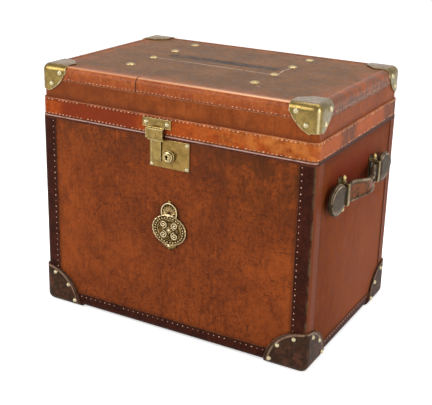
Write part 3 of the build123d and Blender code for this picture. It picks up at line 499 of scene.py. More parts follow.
def cap_marks(f):
    """Pared edge of the cap rubbed pale, and a redder worn patch on each face."""
    for axis, other, corner, face_at in (
        (f.x, f.y, cap_high.x, cap_high.y), (f.y, f.x, cap_high.y, cap_high.x),
    ):
        from_corner = f.less(f.off(axis), corner * MM)
        squares = f.plus(f.both(from_corner, from_corner), f.both(f.z, f.z))
        reach = f.add("Math", {0: squares}, operation="SQRT")
        face = f.past(f.off(other), face_at - 1.5, 1.5)
        line = f.both(f.near(reach, cap_high.z - 1.3, 0.9, 1.2), face)
        f.tint("#A08068", 0.6, line, f.blotch(12, 0.3, 0.55, 8, 4))
        worn = f.both(f.near(reach, 30, 9, 16), f.blotch(16, 0.46, 0.6, 61))
        f.tint("#5E3828", 0.4, worn)


# Front and back: waxed bridle hide. Its dye is uneven, so it shows warm and dark clouds
panel_hide = hide(
    "panel_hide_waxed", "#843F19", "#562612", "#9A4B1D", mottle_mm=60, gloss=0.5, shine=0.06, spots=0.85,
    depth=0.48, extra=front_marks,
)
# Ends and base: the same hide, duller and redder
end_hide = hide(
    "end_hide_waxed", "#743614", "#5E2910", "#884820", mottle_mm=80, seed=8, gloss=0.5, shine=0.02,
    depth=0.6, spots=0.4, extra=end_marks,
)
# Corner strips and foot: thick hide dyed near black, greyed along the fold, partly rubbed and partly a
# painted highlight
binding_hide = hide(
    "binding_hide_dark", "#3A190F", "#260F09", "#522518", mottle_mm=26, seed=13, gloss=0.45, shine=0.05,
    wear="#75513C", wear_share=0.6, spots=0.6, extra=binding_marks,
)
# The mouth's roll: dark hide, polished, and pale along the front where the lid lands, partly rubbed and
# partly a painted highlight, with painted shade on its ends and back
rim_hide = hide(
    "rim_roll_hide_rubbed", "#552A1C", "#3C1C14", "#74442F", mottle_mm=25, seed=17, gloss=0.36,
    wear="#9C7466", wear_share=0.3, wear_mm=1.5, shine=0.03, extra=rim_marks,
)
# Wet-moulded caps: stiff brown hide, scuffed to bare leather at the edges
cap_hide = hide(
    "moulded_cap_hide", "#3B281B", "#261B13", "#553A2A", mottle_mm=22, seed=21, gloss=0.42, shine=0.07,
    wear="#9A7660", wear_share=0.95, wear_mm=2.2, spots=0.9, extra=cap_marks,
)
# The lid's top: hide bleached by light and dust, with a low waxed gleam
top_hide = hide(
    "top_hide_greyed", "#714824", "#503318", "#8A5E36", mottle_mm=50, seed=25, gloss=0.45, spots=0.8,
    shine=0.14, extra=top_marks,
)
# The lid's upright hide: saddle tan, sheltered between the bindings
lid_side_hide = hide(
    "lid_side_hide", "#8F461B", "#693012", "#A55828", mottle_mm=60, seed=29, gloss=0.42, shine=0.08,
    spots=0.4, depth=0.6, extra=lid_side_marks,
)
# Rim band: thick orange hide, burnished by hands
band_hide = hide(
    "rim_band_hide_orange", "#A04413", "#7A2F0C", "#BE6024", mottle_mm=30, seed=33, gloss=0.45, shine=0.08,
    wear="#D99A6C", spots=0.5, extra=band_marks,
)
# Top binding: tan hide folded over the edge, the glossiest of all
top_binding_hide = hide(
    "top_binding_hide_tan", "#A2501F", "#7C3816", "#C07440", mottle_mm=30, seed=37, gloss=0.36, shine=0.16,
    wear="#D9A27A", wear_share=0.6, wear_mm=3, spots=0.5, depth=0.6, extra=top_binding_marks,
)
# Straps: hide soaked with grease, nearly black, with dried wax on the rolls
strap_hide = hide(
    "strap_hide_greasy", "#463826", "#261D13", "#6E583C", mottle_mm=16, seed=41, gloss=0.42, wear="#B39A78",
    wear_share=0.7, wear_mm=1.5, spots=0.2, shine=0.08, extra=strap_marks,
)
# Rolled sheet: a brown film, bright at the edges, partly filed and rubbed and partly a painted highlight
brass = old_brass("old_brass", "#8A6E3C", "#4A3A1C", "#F2E4B6", wear_mm=1.6)
# Pressed box corners: olive, with a painted highlight on the folds
corner_brass = old_brass(
    "lid_corner_brass", "#86703F", "#463A20", "#F8ECC0", 0.3, 21, wear_mm=1.2, extra=corner_marks,
)
# Cast hasp: paler, with a painted highlight on the hood's top
hasp_brass = old_brass(
    "handled_brass", "#8C7442", "#4A3C1E", "#E8D8A4", 0.28, 27, wear_mm=1.8, extra=hasp_marks,
)
# Tinned nails: silvery yellow with grey pits
white_brass = old_brass("tinned_nail_brass", "#C0B48E", "#857A5E", "#FFF7E0", 0.34, 31, relief=0.3)
# Keepers: darker, out of reach of the cloth
keeper_brass = old_brass("keeper_brass", "#77623C", "#382A16", "#D8C690", 0.34, 15, 1.2)
# Rivets, knob and pins: turned or spun, rubbed to a soft shine
bright_brass = old_brass("rubbed_brass", "#B09A66", "#6E5C34", "#F6EED2", 0.34, 5, relief=0.3)


def plain(name, base, second, size_mm, rough, depth_mm, stretch=(1, 1, 1), **shader):
    """Two-tone finish of the parts inside: wood, cloth, iron."""
    f = Finish(name, Roughness=rough, **shader)
    figure = f.noise(size_mm, 5, 0.65, stretch=stretch)
    f.give("Base Color", f.mix(f.ramp(figure, 0.35, 0.65), base, second))
    f.bump((figure, depth_mm))
    return f.material


# Pine boards: yellowed softwood with 6 mm rings along the grain
pine = plain("yellowed_pine", "#B98F5A", "#8F6438", 6, 0.6, 0.2, (0.12, 1, 1))
# Beech lip: close brown flecks
lip_wood = plain("beech_lip", "#A9794A", "#86592F", 4, 0.5, 0.15, (0.15, 1, 1))
# Steel wire and strip: blued and slightly oxidised
steel = plain("dark_steel", "#55524E", "#3A3733", 3, 0.38, 0.05, Metallic=1.0)
# Linen thread: waxed pale, or stained by the dye on the ends
plain("dyed_linen_thread", "#5E3426", "#3E2018", 8, 0.6, 0.05)
plain("waxed_linen_thread", "#E2B698", "#A06C4E", 14, 0.55, 0.05)

# Cotton twill, browned in patches; its fine ribs are drawn 3 mm apart, so that they show
cloth = Finish("lining_twill", Roughness=0.9, Sheen_Weight=0.3)
weave = cloth.add(
    "TexWave", {"Vector": cloth.place, "Scale": 110.0, "Distortion": 0.6}, bands_direction="DIAGONAL",
    out="Fac",
)
age = cloth.noise(60, 5, 0.6)
cloth.give("Base Color", cloth.mix(cloth.ramp(age, 0.35, 0.65), "#B59A6C", "#8E7347"))
cloth.bump((weave, 0.15), (age, 0.3))
lining = cloth.material

sides = [f"{end}_{side}" for side in ("left", "right") for end in ("front", "back")]
corner_bindings = [f"corner_binding_{side}" for side in sides]
base_caps = [f"base_cap_{side}" for side in sides]
lid_corners = [f"lid_corner_{side}" for side in sides]
boards = [f"{board}_board" for board in ("front", "back", "left", "right", "base")]
boards += [f"lid_{board}_board" for board in ("top", "front", "back", "left", "right")]
finish_of = {
    panel_hide: ["front_leather", "back_leather"],
    end_hide: ["left_leather", "right_leather", "base_leather"],
    binding_hide: ["base_binding", *corner_bindings],
    rim_hide: ["rim_binding"],
    cap_hide: base_caps,
    top_hide: ["lid_top_leather"],
    lid_side_hide: ["lid_side_leather"],
    band_hide: ["rim_band"],
    top_binding_hide: ["top_edge_binding"],
    strap_hide: ["handle_right", "handle_left"],
    keeper_brass: ["keeper_plates", "keeper_loops"],
    hasp_brass: ["hasp", "hasp_plate"],
    white_brass: ["cap_nails", "corner_rivets", "lock_nails", "hasp_screws"],
    corner_brass: lid_corners,
    brass: ["lock_plate", "hinge_body_leaves", "hinge_lid_leaves", "lock_case", "front_ornament"],
    bright_brass: ["lid_top_rivets", "keeper_pins", "lock_knob"],
    steel: ["hasp_pin", "hinge_pins", "lock_bolt", "lock_spring"],
    pine: boards,
    lip_wood: ["rim_lip"],
    lining: ["body_lining", "lid_lining"],
}
for material, names in finish_of.items():
    for name in names:
        nodes[name].data.materials.clear()
        nodes[name].data.materials.append(material)


# Mesh helpers
def placed(name, data):
    """New object in the scene."""
    obj = bpy.data.objects.new(name, data)
    bpy.context.scene.collection.objects.link(obj)
    return obj


def mesh_object(name, points, faces, material, smooth=True):
    """Mesh from points in metres."""
    data = bpy.data.meshes.new(name)
    data.from_pydata([tuple(p) for p in points], [], faces)
    data.materials.append(material)
    data.polygons.foreach_set("use_smooth", [smooth] * len(data.polygons))
    return placed(name, data)


def merged(data):
    """Working copy of a mesh with its doubles merged."""
    made = bmesh.new()
    made.from_mesh(data)
    bmesh.ops.remove_doubles(made, verts=made.verts, dist=double_gap)
    return made


def outward(data):
    """Turns all faces of a mesh outwards."""
    made = bmesh.new()
    made.from_mesh(data)
    bmesh.ops.recalc_face_normals(made, faces=made.faces)
    made.to_mesh(data)
    made.free()


def shaded(data, sharp_deg):
    """Smooth shading, with the sharp edges left sharp."""
    data.polygons.foreach_set("use_smooth", [True] * len(data.polygons))
    data.set_sharp_from_angle(angle=radians(sharp_deg))


def tube(rings, count):
    """Faces of a closed tube with flat ends, from rings of count points."""
    faces = []
    for i in range(rings - 1):
        for k in range(count):
            a, b = i * count + k, i * count + (k + 1) % count
            faces.append((a, b, b + count, a + count))
    return faces + [tuple(reversed(range(count))), tuple(range((rings - 1) * count, rings * count))]


def settled(obj, name):
    """Plain mesh of an object with its modifiers applied, in its place."""
    bpy.context.view_layer.update()
    data = bpy.data.meshes.new_from_object(obj.evaluated_get(bpy.context.evaluated_depsgraph_get()))
    data.name = name
    made = placed(name, data)
    bpy.data.objects.remove(obj)
    return made


def bowed(made, bow_mm, step_mm=4):
    """Bows the slanting edges of a lid corner's three lobes away from the corner."""
    middle = sum((v.co for v in made.verts), Vector()) / len(made.verts)
    slanting = []
    for edge in made.edges:
        run = edge.verts[1].co - edge.verts[0].co
        across = min(range(3), key=lambda i: abs(run[i]))
        level = abs(run[across]) < 0.3 * MM and sum(abs(c) > 6 * MM for c in run) == 2
        if level and edge.calc_face_angle(0.0) > 0.5:
            slanting.append((edge, across, edge.verts[0].co.copy(), run))
    for edge, across, start, run in slanting:
        last, vert = edge.verts[1], edge.verts[0]
        cuts = int(run.length / (step_mm * MM))
        for i in range(cuts):
            vert = bmesh.utils.edge_split(edge, vert, 1 / (cuts + 1 - i))[1]
            edge = next(e for e in vert.link_edges if last in e.verts)
    moved = set()
    for edge, across, start, run in slanting:
        if run.length < 30 * MM or abs(start[across]) < abs(middle[across]):
            continue
        out = Vector([-1 if at > 0 else 1 for at in (middle.x, middle.y, 1)])
        out[across] = 0
        for vert in made.verts:
            offset = vert.co - start
            along = offset.dot(run) / run.length_squared
            aside = offset - run * along
            thin, aside[across] = aside[across], 0
            close = aside.length < 1.3 * MM and abs(thin) < 3.5 * MM
            if -0.2 < along < 1.2 and close and vert not in moved:
                moved.add(vert)
                vert.co += out.normalized() * (2 * bow_mm * MM * (along + 0.2) * (1.2 - along))


def softened(node, width_mm, segments=2, bow_mm=0.0):
    """Copy of a solid with its edges rounded, as metal is filed and leather is pared."""
    source = nodes[node]
    copy = placed(node + "_form", source.data.copy())
    made = merged(copy.data)
    bmesh.ops.dissolve_limit(made, angle_limit=radians(1.0), verts=made.verts, edges=made.edges)
    if bow_mm:
        bowed(made, bow_mm)
    made.to_mesh(copy.data)
    made.free()
    bevel = copy.modifiers.new("edges", "BEVEL")
    bevel.width = width_mm * MM
    bevel.segments = segments
    bevel.limit_method = "ANGLE"
    bevel.angle_limit = radians(38)
    obj = settled(copy, node + "_form")
    shaded(obj.data, 42)
    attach(obj, source["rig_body"])
    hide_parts(node)


for corner, cap in zip(lid_corners, base_caps):
    softened(corner, 0.7, bow_mm=6.0)
    softened(cap, 1.0, 3)
for node, width in (
    ("lock_plate", 0.3), ("hasp", 0.5), ("hasp_plate", 0.4), ("keeper_loops", 0.6), ("keeper_plates", 0.4),
):
    softened(node, width)


# Heads and stitches by geometry nodes
def begun(name, sizes):
    """New geometry tree with its named inputs, and the outputs of its group input."""
    tree = bpy.data.node_groups.new(name, "GeometryNodeTree")
    for label, value in {"Geometry": None, **sizes}.items():
        kind = {type(None): "Geometry", int: "Int", float: "Float"}[type(value)]
        made = tree.interface.new_socket(label, in_out="INPUT", socket_type="NodeSocket" + kind)
        if value is not None:
            made.default_value = value
    tree.interface.new_socket("Geometry", in_out="OUTPUT", socket_type="NodeSocketGeometry")
    return tree, put(tree, "NodeGroupInput", out=None).outputs


def link_out(tree, made, material_name):
    """Realizes the instances, smooths them and gives them their material."""
    real = put(tree, "GeometryNodeRealizeInstances", {0: made})
    smooth = put(tree, "GeometryNodeSetShadeSmooth", {0: real})
    done = put(tree, "GeometryNodeSetMaterial", {0: smooth, "Material": bpy.data.materials[material_name]})
    put(tree, "NodeGroupOutput", {0: done}, out=None)


def upright(tree):
    """Turn that lets a piece stand along the attribute called out."""
    wanted = {"Name": "out"}
    out = put(tree, "GeometryNodeInputNamedAttribute", wanted, data_type="FLOAT_VECTOR", out=0)
    return put(tree, "FunctionNodeAlignRotationToVector", {"Vector": out}, axis="Z")


def heads_tree(material_name):
    """Domed heads on the points of a mesh, each leaning along the attribute called out."""
    sizes = {"Radius": 0.004, "Rise": 0.002, "Collar": 0.0005, "Segments": 20}
    tree, given = begun("domed_heads_" + material_name, sizes)
    ball = put(tree, "GeometryNodeMeshUVSphere", {"Segments": given["Segments"], "Rings": 10, "Radius": 1.0})
    # A thin collar shows as the flat rim of a stamped head
    dome_r = put(tree, "ShaderNodeMath", {0: given["Radius"], 1: 0.96}, operation="MULTIPLY")
    scale = put(tree, "ShaderNodeCombineXYZ", {0: dome_r, 1: dome_r, 2: given["Rise"]})
    dome = put(tree, "GeometryNodeTransform", {"Geometry": ball, "Scale": scale})
    flat = put(tree, "ShaderNodeCombineXYZ", {0: given["Radius"], 1: given["Radius"], 2: given["Collar"]})
    rim = put(tree, "GeometryNodeTransform", {"Geometry": ball, "Scale": flat})
    head = put(tree, "GeometryNodeJoinGeometry", out=None)
    tree.links.new(dome, head.inputs[0])
    tree.links.new(rim, head.inputs[0])
    lean = upright(tree)
    points = put(tree, "GeometryNodeMeshToPoints", {0: given[0]})
    made = put(
        tree, "GeometryNodeInstanceOnPoints",
        {"Points": points, "Instance": head.outputs[0], "Rotation": lean},
    )
    link_out(tree, made, material_name)
    return tree


def stitch_tree(material_name):
    """Rows of slightly uneven stitches along edge paths, a few of them worn away."""
    sizes = {"Pitch": 0.0085, "Half Length": 0.0024, "Half Width": 0.0008, "Rise": 0.0006}
    tree, given = begun("stitch_row_" + material_name, {**sizes, "Missing": 0.05, "Seed": 3})
    path = put(tree, "GeometryNodeMeshToCurve", {0: given[0]})
    row = put(tree, "GeometryNodeResampleCurve", {"Curve": path, "Length": given["Pitch"]}, mode="LENGTH")
    along = put(tree, "GeometryNodeInputTangent")
    made = {"Rotation": upright(tree), "Vector": along}
    turned = put(tree, "FunctionNodeAlignRotationToVector", made, axis="X", pivot_axis="Z")
    ball = put(tree, "GeometryNodeMeshUVSphere", {"Segments": 8, "Rings": 5, "Radius": 1.0})
    size = put(
        tree, "ShaderNodeCombineXYZ", {0: given["Half Length"], 1: given["Half Width"], 2: given["Rise"]},
    )
    stitch = put(tree, "GeometryNodeTransform", {"Geometry": ball, "Scale": size})
    chance = put(tree, "FunctionNodeRandomValue", {"Seed": given["Seed"]}, data_type="FLOAT", out="Value")
    made = {0: chance, 1: given["Missing"]}
    keep = put(tree, "FunctionNodeCompare", made, data_type="FLOAT", operation="GREATER_THAN")
    made = {0: (0.75, 0.75, 0.7), 1: (1.15, 1.2, 1.2), "Seed": given["Seed"]}
    uneven = put(tree, "FunctionNodeRandomValue", made, data_type="FLOAT_VECTOR")
    spread = {"Points": row, "Selection": keep, "Instance": stitch, "Rotation": turned}
    made = put(tree, "GeometryNodeInstanceOnPoints", {**spread, "Scale": uneven})
    link_out(tree, made, material_name)
    return tree


def seated(name, seats, edges, tree, body, slot, **sizes):
    """Runs a tree on seats, each a point in mm and its outward direction; sizes in metres."""
    data = bpy.data.meshes.new(name)
    data.from_pydata([tuple(Vector(p) * MM) for p, _ in seats], edges, [])
    direction = data.attributes.new("out", "FLOAT_VECTOR", "POINT")
    direction.data.foreach_set("vector", [c for _, out in seats for c in out])
    source = placed(name + "_seats", data)
    modifier = source.modifiers.new("row", "NODES")
    modifier.node_group = tree
    for item in tree.interface.items_tree:
        key = item.name.replace(" ", "_").lower()
        if item.in_out == "INPUT" and key in sizes:
            modifier[item.identifier] = sizes[key]
    obj = settled(source, name)
    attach(obj, body)
    return obj


def islands(node):
    """Middle, lowest and highest corner of each separate lump of a solid, in millimetres."""
    made = merged(nodes[node].data)
    left = set(made.verts)
    found = []
    while left:
        group, queue = [], [left.pop()]
        while queue:
            vert = queue.pop()
            group.append(vert.co.copy() / MM)
            for edge in vert.link_edges:
                other = edge.other_vert(vert)
                if other in left:
                    left.remove(other)
                    queue.append(other)
        low = Vector([min(p[i] for p in group) for i in range(3)])
        high = Vector([max(p[i] for p in group) for i in range(3)])
        found.append(((low + high) / 2, low, high))
    made.free()
    return found


def head_seats(node):
    """Seat of each nail head of a solid: the middle of its foot, and where it faces."""
    seats = []
    for middle, low, high in islands(node):
        size = high - low
        axis = min(range(3), key=lambda i: size[i])
        out = Vector((0, 0, 0))
        out[axis] = 1 if axis == 2 or middle[axis] > 0 else -1
        foot = middle.copy()
        foot[axis] = low[axis] if out[axis] > 0 else high[axis]
        seats.append((foot, out))
    return seats


heads = heads_tree("rubbed_brass")
white_heads = heads_tree("tinned_nail_brass")
for node, tree, radius, rise in (
    ("cap_nails", white_heads, 3.6, 2.9),
    ("corner_rivets", white_heads, 4.0, 3.0),
    ("lid_top_rivets", heads, 7.6, 2.2),
    ("lock_nails", white_heads, 3.5, 2.8),
    ("hasp_screws", white_heads, 4.0, 3.4),
):
    sizes = {"radius": radius * MM, "rise": rise * MM, "collar": 0.3 * MM}
    body = nodes[node]["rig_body"]
    piece = seated(node + "_heads", head_seats(node), [], tree, body, "old_brass", **sizes)
    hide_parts(node)


def round_path(half_x, half_y, radius, z):
    """Closed path round a box with round corners, with its outward directions."""
    seats = []
    for sx, sy, start in ((1, 1, 0), (-1, 1, 90), (-1, -1, 180), (1, -1, 270)):
        for step in range(5):
            angle = radians(start + 22.5 * step)
            out = Vector((cos(angle), sin(angle), 0))
            middle = Vector((sx * (half_x - radius), sy * (half_y - radius), z))
            seats.append((middle + radius * out, out))
    edges = [(i, (i + 1) % len(seats)) for i in range(len(seats))]
    return seats, edges


def joined_paths(*paths):
    """Several paths as one set of seats and edges."""
    seats, edges = [], []
    for some_seats, some_edges in paths:
        edges += [(a + len(seats), b + len(seats)) for a, b in some_edges]
        seats += some_seats
    return seats, edges


def line_path(start, end, out):
    """Straight path between two places, with one outward direction."""
    return [(Vector(start), Vector(out)), (Vector(end), Vector(out))], [(0, 1)]


stitches = stitch_tree("waxed_linen_thread")
dyed_stitches = stitch_tree("dyed_linen_thread")
seam_in = 4.0


def riser(x, y, out):
    """Upright row from the foot binding to under the rim."""
    return line_path((x, y, 66), (x, y, rim_z - 9), out)


upright_rows, end_rows = [], []
for sx in (-1, 1):
    for sy in (-1, 1):
        upright_rows.append(riser(sx * (panel_x + seam_in), sy * bound_y, (0, sy, 0)))
        end_rows.append(riser(sx * bound_x, sy * (panel_y + seam_in), (sx, 0, 0)))
foot_row = round_path(bound_x, bound_y, 9.2, foot_top - seam_in)
row_heights = (band_low.z + 2.8, band_high.z - 2.4)
body_rows = [*upright_rows, foot_row]
band_rows = [round_path(band_high.x, band_high.y, 11.5, z) for z in row_heights]
top_row = round_path(top_high.x, top_high.y, 9.8, top_low.z + 3.2)
# Each row: pitch, half length, half width and rise in millimetres, and the share worn away.
# On the ends the thread has taken up the dye
for name, paths, tree, body, slot, sizes in (
    ("body_stitches", body_rows, stitches, "body", "binding_hide", (9.5, 1.1, 0.9, 0.6, 0.05)),
    ("end_stitches", end_rows, dyed_stitches, "body", "binding_hide", (9.5, 1.3, 0.9, 0.5, 0.05)),
    ("band_stitches", band_rows, stitches, "lid", "band_hide", (7.0, 1.6, 1.0, 0.8, 0.12)),
    ("top_binding_stitches", [top_row], stitches, "lid", "binding_hide", (6.8, 1.4, 0.7, 0.6, 0.12)),
):
    pitch, half_length, half_width, rise, missing = sizes
    sizes = {"pitch": pitch * MM, "half_length": half_length * MM, "half_width": half_width * MM}
    seated(name, *joined_paths(*paths), tree, body, slot, **sizes, rise=rise * MM, missing=missing)


# Strap handles
def between(stops, at):
    """Smooth value between (place, value) stops."""
    for (p0, v0), (p1, v1) in zip(stops, stops[1:]):
        if at <= p1:
            t = max(0.0, (at - p0) / (p1 - p0))
            return v0 + (v1 - v0) * t * t * (3 - 2 * t)
    return stops[-1][1]


def strap_handle(side, sx):
    """Layered strap: rolled edges round a sunk face on the grip, and flat D-shaped end pads."""
    low, high = box_mm(f"handle_{side}")
    mid_y = (low.y + high.y) / 2
    mid_z = (low.z + high.z) / 2
    half_long = (high.y - low.y) / 2
    pad_half = (high.z - low.z) / 2
    # Outline across the strap: share of the half height, share of the half thickness
    grip = [
        (-1.0, -0.1), (-1.0, 0.7), (-0.95, 1.0), (-0.86, 1.0), (-0.8, 0.55), (-0.7, 0.18), (-0.35, 0.08),
        (0.0, 0.05), (0.35, 0.08), (0.52, 0.2), (0.6, 0.7), (0.68, 1.1), (0.84, 1.25), (0.97, 0.9),
        (1.0, 0.1), (0.97, -0.7), (0.85, -1.0), (0.5, -1.0), (0.0, -1.0), (-0.5, -1.0), (-0.85, -1.0),
        (-0.98, -0.7),
    ]
    pad = [
        (-1.0, -0.1), (-0.99, 0.4), (-0.95, 0.62), (-0.9, 0.68), (-0.87, 0.72), (-0.84, 0.92), (-0.5, 1.0),
        (0.0, 1.02), (0.5, 1.0), (0.78, 0.96), (0.84, 0.92), (0.87, 0.72), (0.93, 0.66), (0.98, 0.45),
        (1.0, -0.1), (0.98, -0.7), (0.85, -1.0), (0.5, -1.0), (0.0, -1.0), (-0.5, -1.0), (-0.85, -1.0),
        (-0.98, -0.7),
    ]
    # Points of the outline that lie in the sunk face, and on the rubbed rolls beside it
    sunk_at = range(5, 10)
    rubbed_at = (2, 3, 12, 13)
    # Pared rim of the pad: a worn line on its roll, and painted shade in the step beside it
    pad_tone = {2: -0.6, 3: -0.9, 4: 0.9, 5: 0.4, 10: 1.0, 11: 0.9, 12: -0.9, 13: 0.8}
    # Back and face of the strap, measured from the panel, and how far the grip bows out
    strap_in, strap_out, bow = 9.45, 14.55, 12.0
    # The grip and the pad are thicker than the strap between them
    grip_more, pad_more = 1.85, 1.6
    # Places along it: the end of the grip, where the pad widens, and where it rounds off
    grip_end, pad_start, pad_full, round_from = 57, 77, 80.5, 92
    # Half height of the strap at places along it
    tall = (
        (0, 12.2), (47, 16.8), (56, 14.0), (pad_start, 14.0), (pad_full, 21.0), (round_from, pad_half),
    )
    # Sections every 2 mm along the grip, and chosen ones where the pad widens and rounds off
    pad_at = {
        pad_start, 77.8, 78.8, 80, 81.5, 84, 88, round_from, 96, 100, 104, 108, 112, 115, 118, 120.5, 122.5,
        124,
    }
    at_end = half_long - 0.3
    half = sorted({round(v, 2) for v in {i * 2.0 for i in range(39)} | pad_at | {at_end}})
    points, sunk, rubbed = [], [], []
    stations = [-p for p in reversed(half) if p > 0] + half
    for y in stations:
        away = abs(y)
        share = between(((pad_start, 0.0), (pad_full, 1.0)), away)
        lift = 1 - between(((0, 0.0), (grip_end, 1.0)), away)
        centre = (strap_in + strap_out) / 2 + lift * (bow + grip_more)
        half_t = (strap_out - strap_in) / 2 + lift * grip_more + share * pad_more
        height = between(tall, away)
        if away > round_from:
            past_round = (away - round_from) / (half_long - round_from)
            height = pad_half * max(0.0004, 1 - past_round ** 2.3) ** 0.5
        for k, (g, p) in enumerate(zip(grip, pad)):
            u = g[0] * (1 - share) + p[0] * share
            v = g[1] * (1 - share) + p[1] * share
            # Under the keeper loops the strap lies flat
            flat = between(((50, 0.0), (grip_end, 1.0)), away) * (1 - share)
            v = v * (1 - flat) + max(-1.0, min(1.0, 3 * v)) * flat
            across = sx * (hide_x + centre + v * half_t)
            points.append(Vector((across, mid_y + y, mid_z + u * height)) * MM)
            on_grip = 1 - between(((44, 0.0), (54, 1.0)), away)
            sunk.append(on_grip if k in sunk_at else 0.0)
            rubbed.append((0.7 * on_grip if k in rubbed_at else 0.0) + share * pad_tone.get(k, 0.0))
    obj = mesh_object(f"strap_{side}", points, tube(len(stations), len(grip)), strap_hide)
    for label, values in (("sunk", sunk), ("rubbed", rubbed)):
        obj.data.attributes.new(label, "FLOAT", "POINT").data.foreach_set("value", values)
    outward(obj.data)
    rounding = obj.modifiers.new("rounding", "SUBSURF")
    rounding.levels = rounding.render_levels = 1
    obj = settled(obj, f"strap_{side}")
    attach(obj, f"handle_{side}")
    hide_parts(f"handle_{side}")


strap_handle("right", 1)
strap_handle("left", -1)


def round_about(count):
    """Cosine and sine of count even angles."""
    return [(cos(2 * pi * k / count), sin(2 * pi * k / count)) for k in range(count)]


def lathe(name, profile, segments, middle, out, material):
    """Round piece from (radius, height) pairs about a line that leaves middle along out."""
    turn = Vector((0, 0, 1)).rotation_difference(Vector(out)).to_matrix()
    points = []
    for radius, height in profile:
        for c, s in round_about(segments):
            spot = turn @ Vector((radius * c, radius * s, height))
            points.append((Vector(middle) + spot) * MM)
    return mesh_object(name, points, tube(len(profile), segments), material)


def joined(name, parts):
    """One object from several."""
    made = bmesh.new()
    material = parts[0].data.materials[0]
    for part in parts:
        made.from_mesh(part.data)
        bpy.data.objects.remove(part)
    data = bpy.data.meshes.new(name)
    made.to_mesh(data)
    made.free()
    data.materials.append(material)
    return placed(name, data)


# Ball-ended pins of the keepers
pins = []
for index, (middle, low, high) in enumerate(islands("keeper_pins")):
    half = (high.z - low.z) / 2
    ball = (high.x - low.x) / 2
    profile = [(0.4, -half)]
    angles = [pi * t / 12 for t in range(1, 10)]
    profile += [(ball * sin(a), -half + ball - ball * cos(a)) for a in angles]
    neck = 2 * ball - half
    profile += [(2.9, neck - 0.7), (3.0, neck + 0.3), (2.0, neck + 0.6)]
    profile += [(r, -h) for r, h in reversed(profile)]
    pins.append(lathe(f"pin_{index}", profile, 24, middle, (0, 0, 1), bright_brass))
pins = joined("keeper_pins_turned", pins)
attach(pins, "body")
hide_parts("keeper_pins")


# Lock knob with its keyhole
def lock_knob():
    """Stepped knob, turned, with a keyhole let into its flat face."""
    low, high = box_mm("lock_knob")
    radius = (high.x - low.x) / 2
    middle = Vector(((low.x + high.x) / 2, plate_front - 0.3, (low.z + high.z) / 2))
    profile = [
        (radius - 1.0, 0.0), (radius, 0.4), (radius, 1.4), (radius - 0.6, 2.0), (radius - 1.5, 2.1),
        (radius - 1.6, 2.4), (radius - 1.5, 4.4), (radius - 2.1, 5.0), (radius - 3.3, 5.1),
        (radius - 3.5, 5.4), (radius - 3.5, 7.0), (radius - 3.9, 7.7), (radius - 4.7, 7.9),
        (radius - 5.2, 7.5), (radius - 6.4, 7.3), (1.6, 7.3),
    ]
    knob = lathe("knob_turned", profile, 48, middle, (0, -1, 0), bright_brass)
    # The steps between the rings are painted dark: painted shade
    knob.data.materials.append(groove_brass)
    for ring in (3, 4, 5, 8, 9):
        for face in knob.data.polygons[ring * 48 : (ring + 1) * 48]:
            face.material_index = 1
    hole = lathe(
        "keyhole", [(2.3, 6.0), (2.3, 7.42), (2.1, 7.46)], 20, middle + Vector((0, 0, 1.4)), (0, -1, 0),
        keyhole_dark,
    )
    slot_points = []
    for depth in (6.0, 7.45):
        for x, z in ((-1.1, 0.6), (1.1, 0.6), (1.5, -4.0), (-1.5, -4.0)):
            slot_points.append((middle + Vector((x, -depth, z))) * MM)
    slot_faces = [(0, 1, 2, 3), (7, 6, 5, 4), (0, 4, 5, 1), (1, 5, 6, 2), (2, 6, 7, 3), (3, 7, 4, 0)]
    slot_part = mesh_object("keyhole_slot", slot_points, slot_faces, keyhole_dark, False)
    for part in (knob, hole, slot_part):
        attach(part, "knob")
    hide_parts("lock_knob")


# Painted shade: dark steps in the knob, and the keyhole painted black for the shade inside it
groove_brass = old_brass("groove_brass", "#5A4624", "#2E2210", "#8A7440", 0.45, 19)
keyhole_dark = plain("keyhole_soot", "#100B06", "#1A130A", 1.0, 0.9, 0.01, Specular_IOR_Level=0.0)
lock_knob()


# Cast ornament
def relief_strip(spots, halves, ridges, vein=0.0, across=9):
    """Closed half-round strip along flat (x, z) spots, with a sunk vein down its middle."""
    points, faces = [], []
    spots = [Vector(p) for p in spots]
    for i, (spot, half, ridge) in enumerate(zip(spots, halves, ridges)):
        run = spots[min(i + 1, len(spots) - 1)] - spots[max(i - 1, 0)]
        cross = Vector((run.y, -run.x)).normalized()
        for j in range(across):
            t = -1 + 2 * j / (across - 1)
            at = spot + cross * (half * t)
            rise = ridge * (1 - t * t) ** 0.5 * (1 - vein * exp(-((t / 0.22) ** 2)))
            points.append((at.x, at.y, rise))
    steps = len(spots) - 1
    for i in range(steps):
        for j in range(across - 1):
            a = i * across + j
            faces.append((a, a + 1, a + across + 1, a + across))
    rim = list(range(across)) + [(i + 1) * across - 1 for i in range(1, steps + 1)]
    rim += [steps * across + j for j in reversed(range(across - 1))]
    rim += [i * across for i in reversed(range(1, steps))]
    faces.append(tuple(reversed(rim)))
    return points, faces


def leaf(base, tip, width, height, steps=12):
    """Veined leaf from base to tip."""
    shares = [i / steps for i in range(steps + 1)]
    spots = [Vector(base) * (1 - t) + Vector(tip) * t for t in shares]
    halves = [width * sin(pi * (0.12 + 0.88 * t) ** 0.85) ** 0.8 for t in shares[:-1]] + [0.02]
    ridges = [height * (0.55 + 0.45 * sin(pi * min(1.0, t * 1.15))) for t in shares]
    return relief_strip(spots, halves, ridges, 0.6)


def scroll(x, z, radius, start, turns, steps=30):
    """Tapered spiral round (x, z); negative turns run the other way."""
    shares = [i / steps for i in range(steps + 1)]
    spots = []
    for t in shares:
        angle = radians(start) + 2 * pi * turns * t
        reach = 0.5 + (radius - 0.5) * t
        spots.append((x + reach * cos(angle), z + reach * sin(angle)))
    return relief_strip(spots, [1.3 - 0.3 * t for t in shares], [3.1 - 0.6 * t for t in shares], across=7)


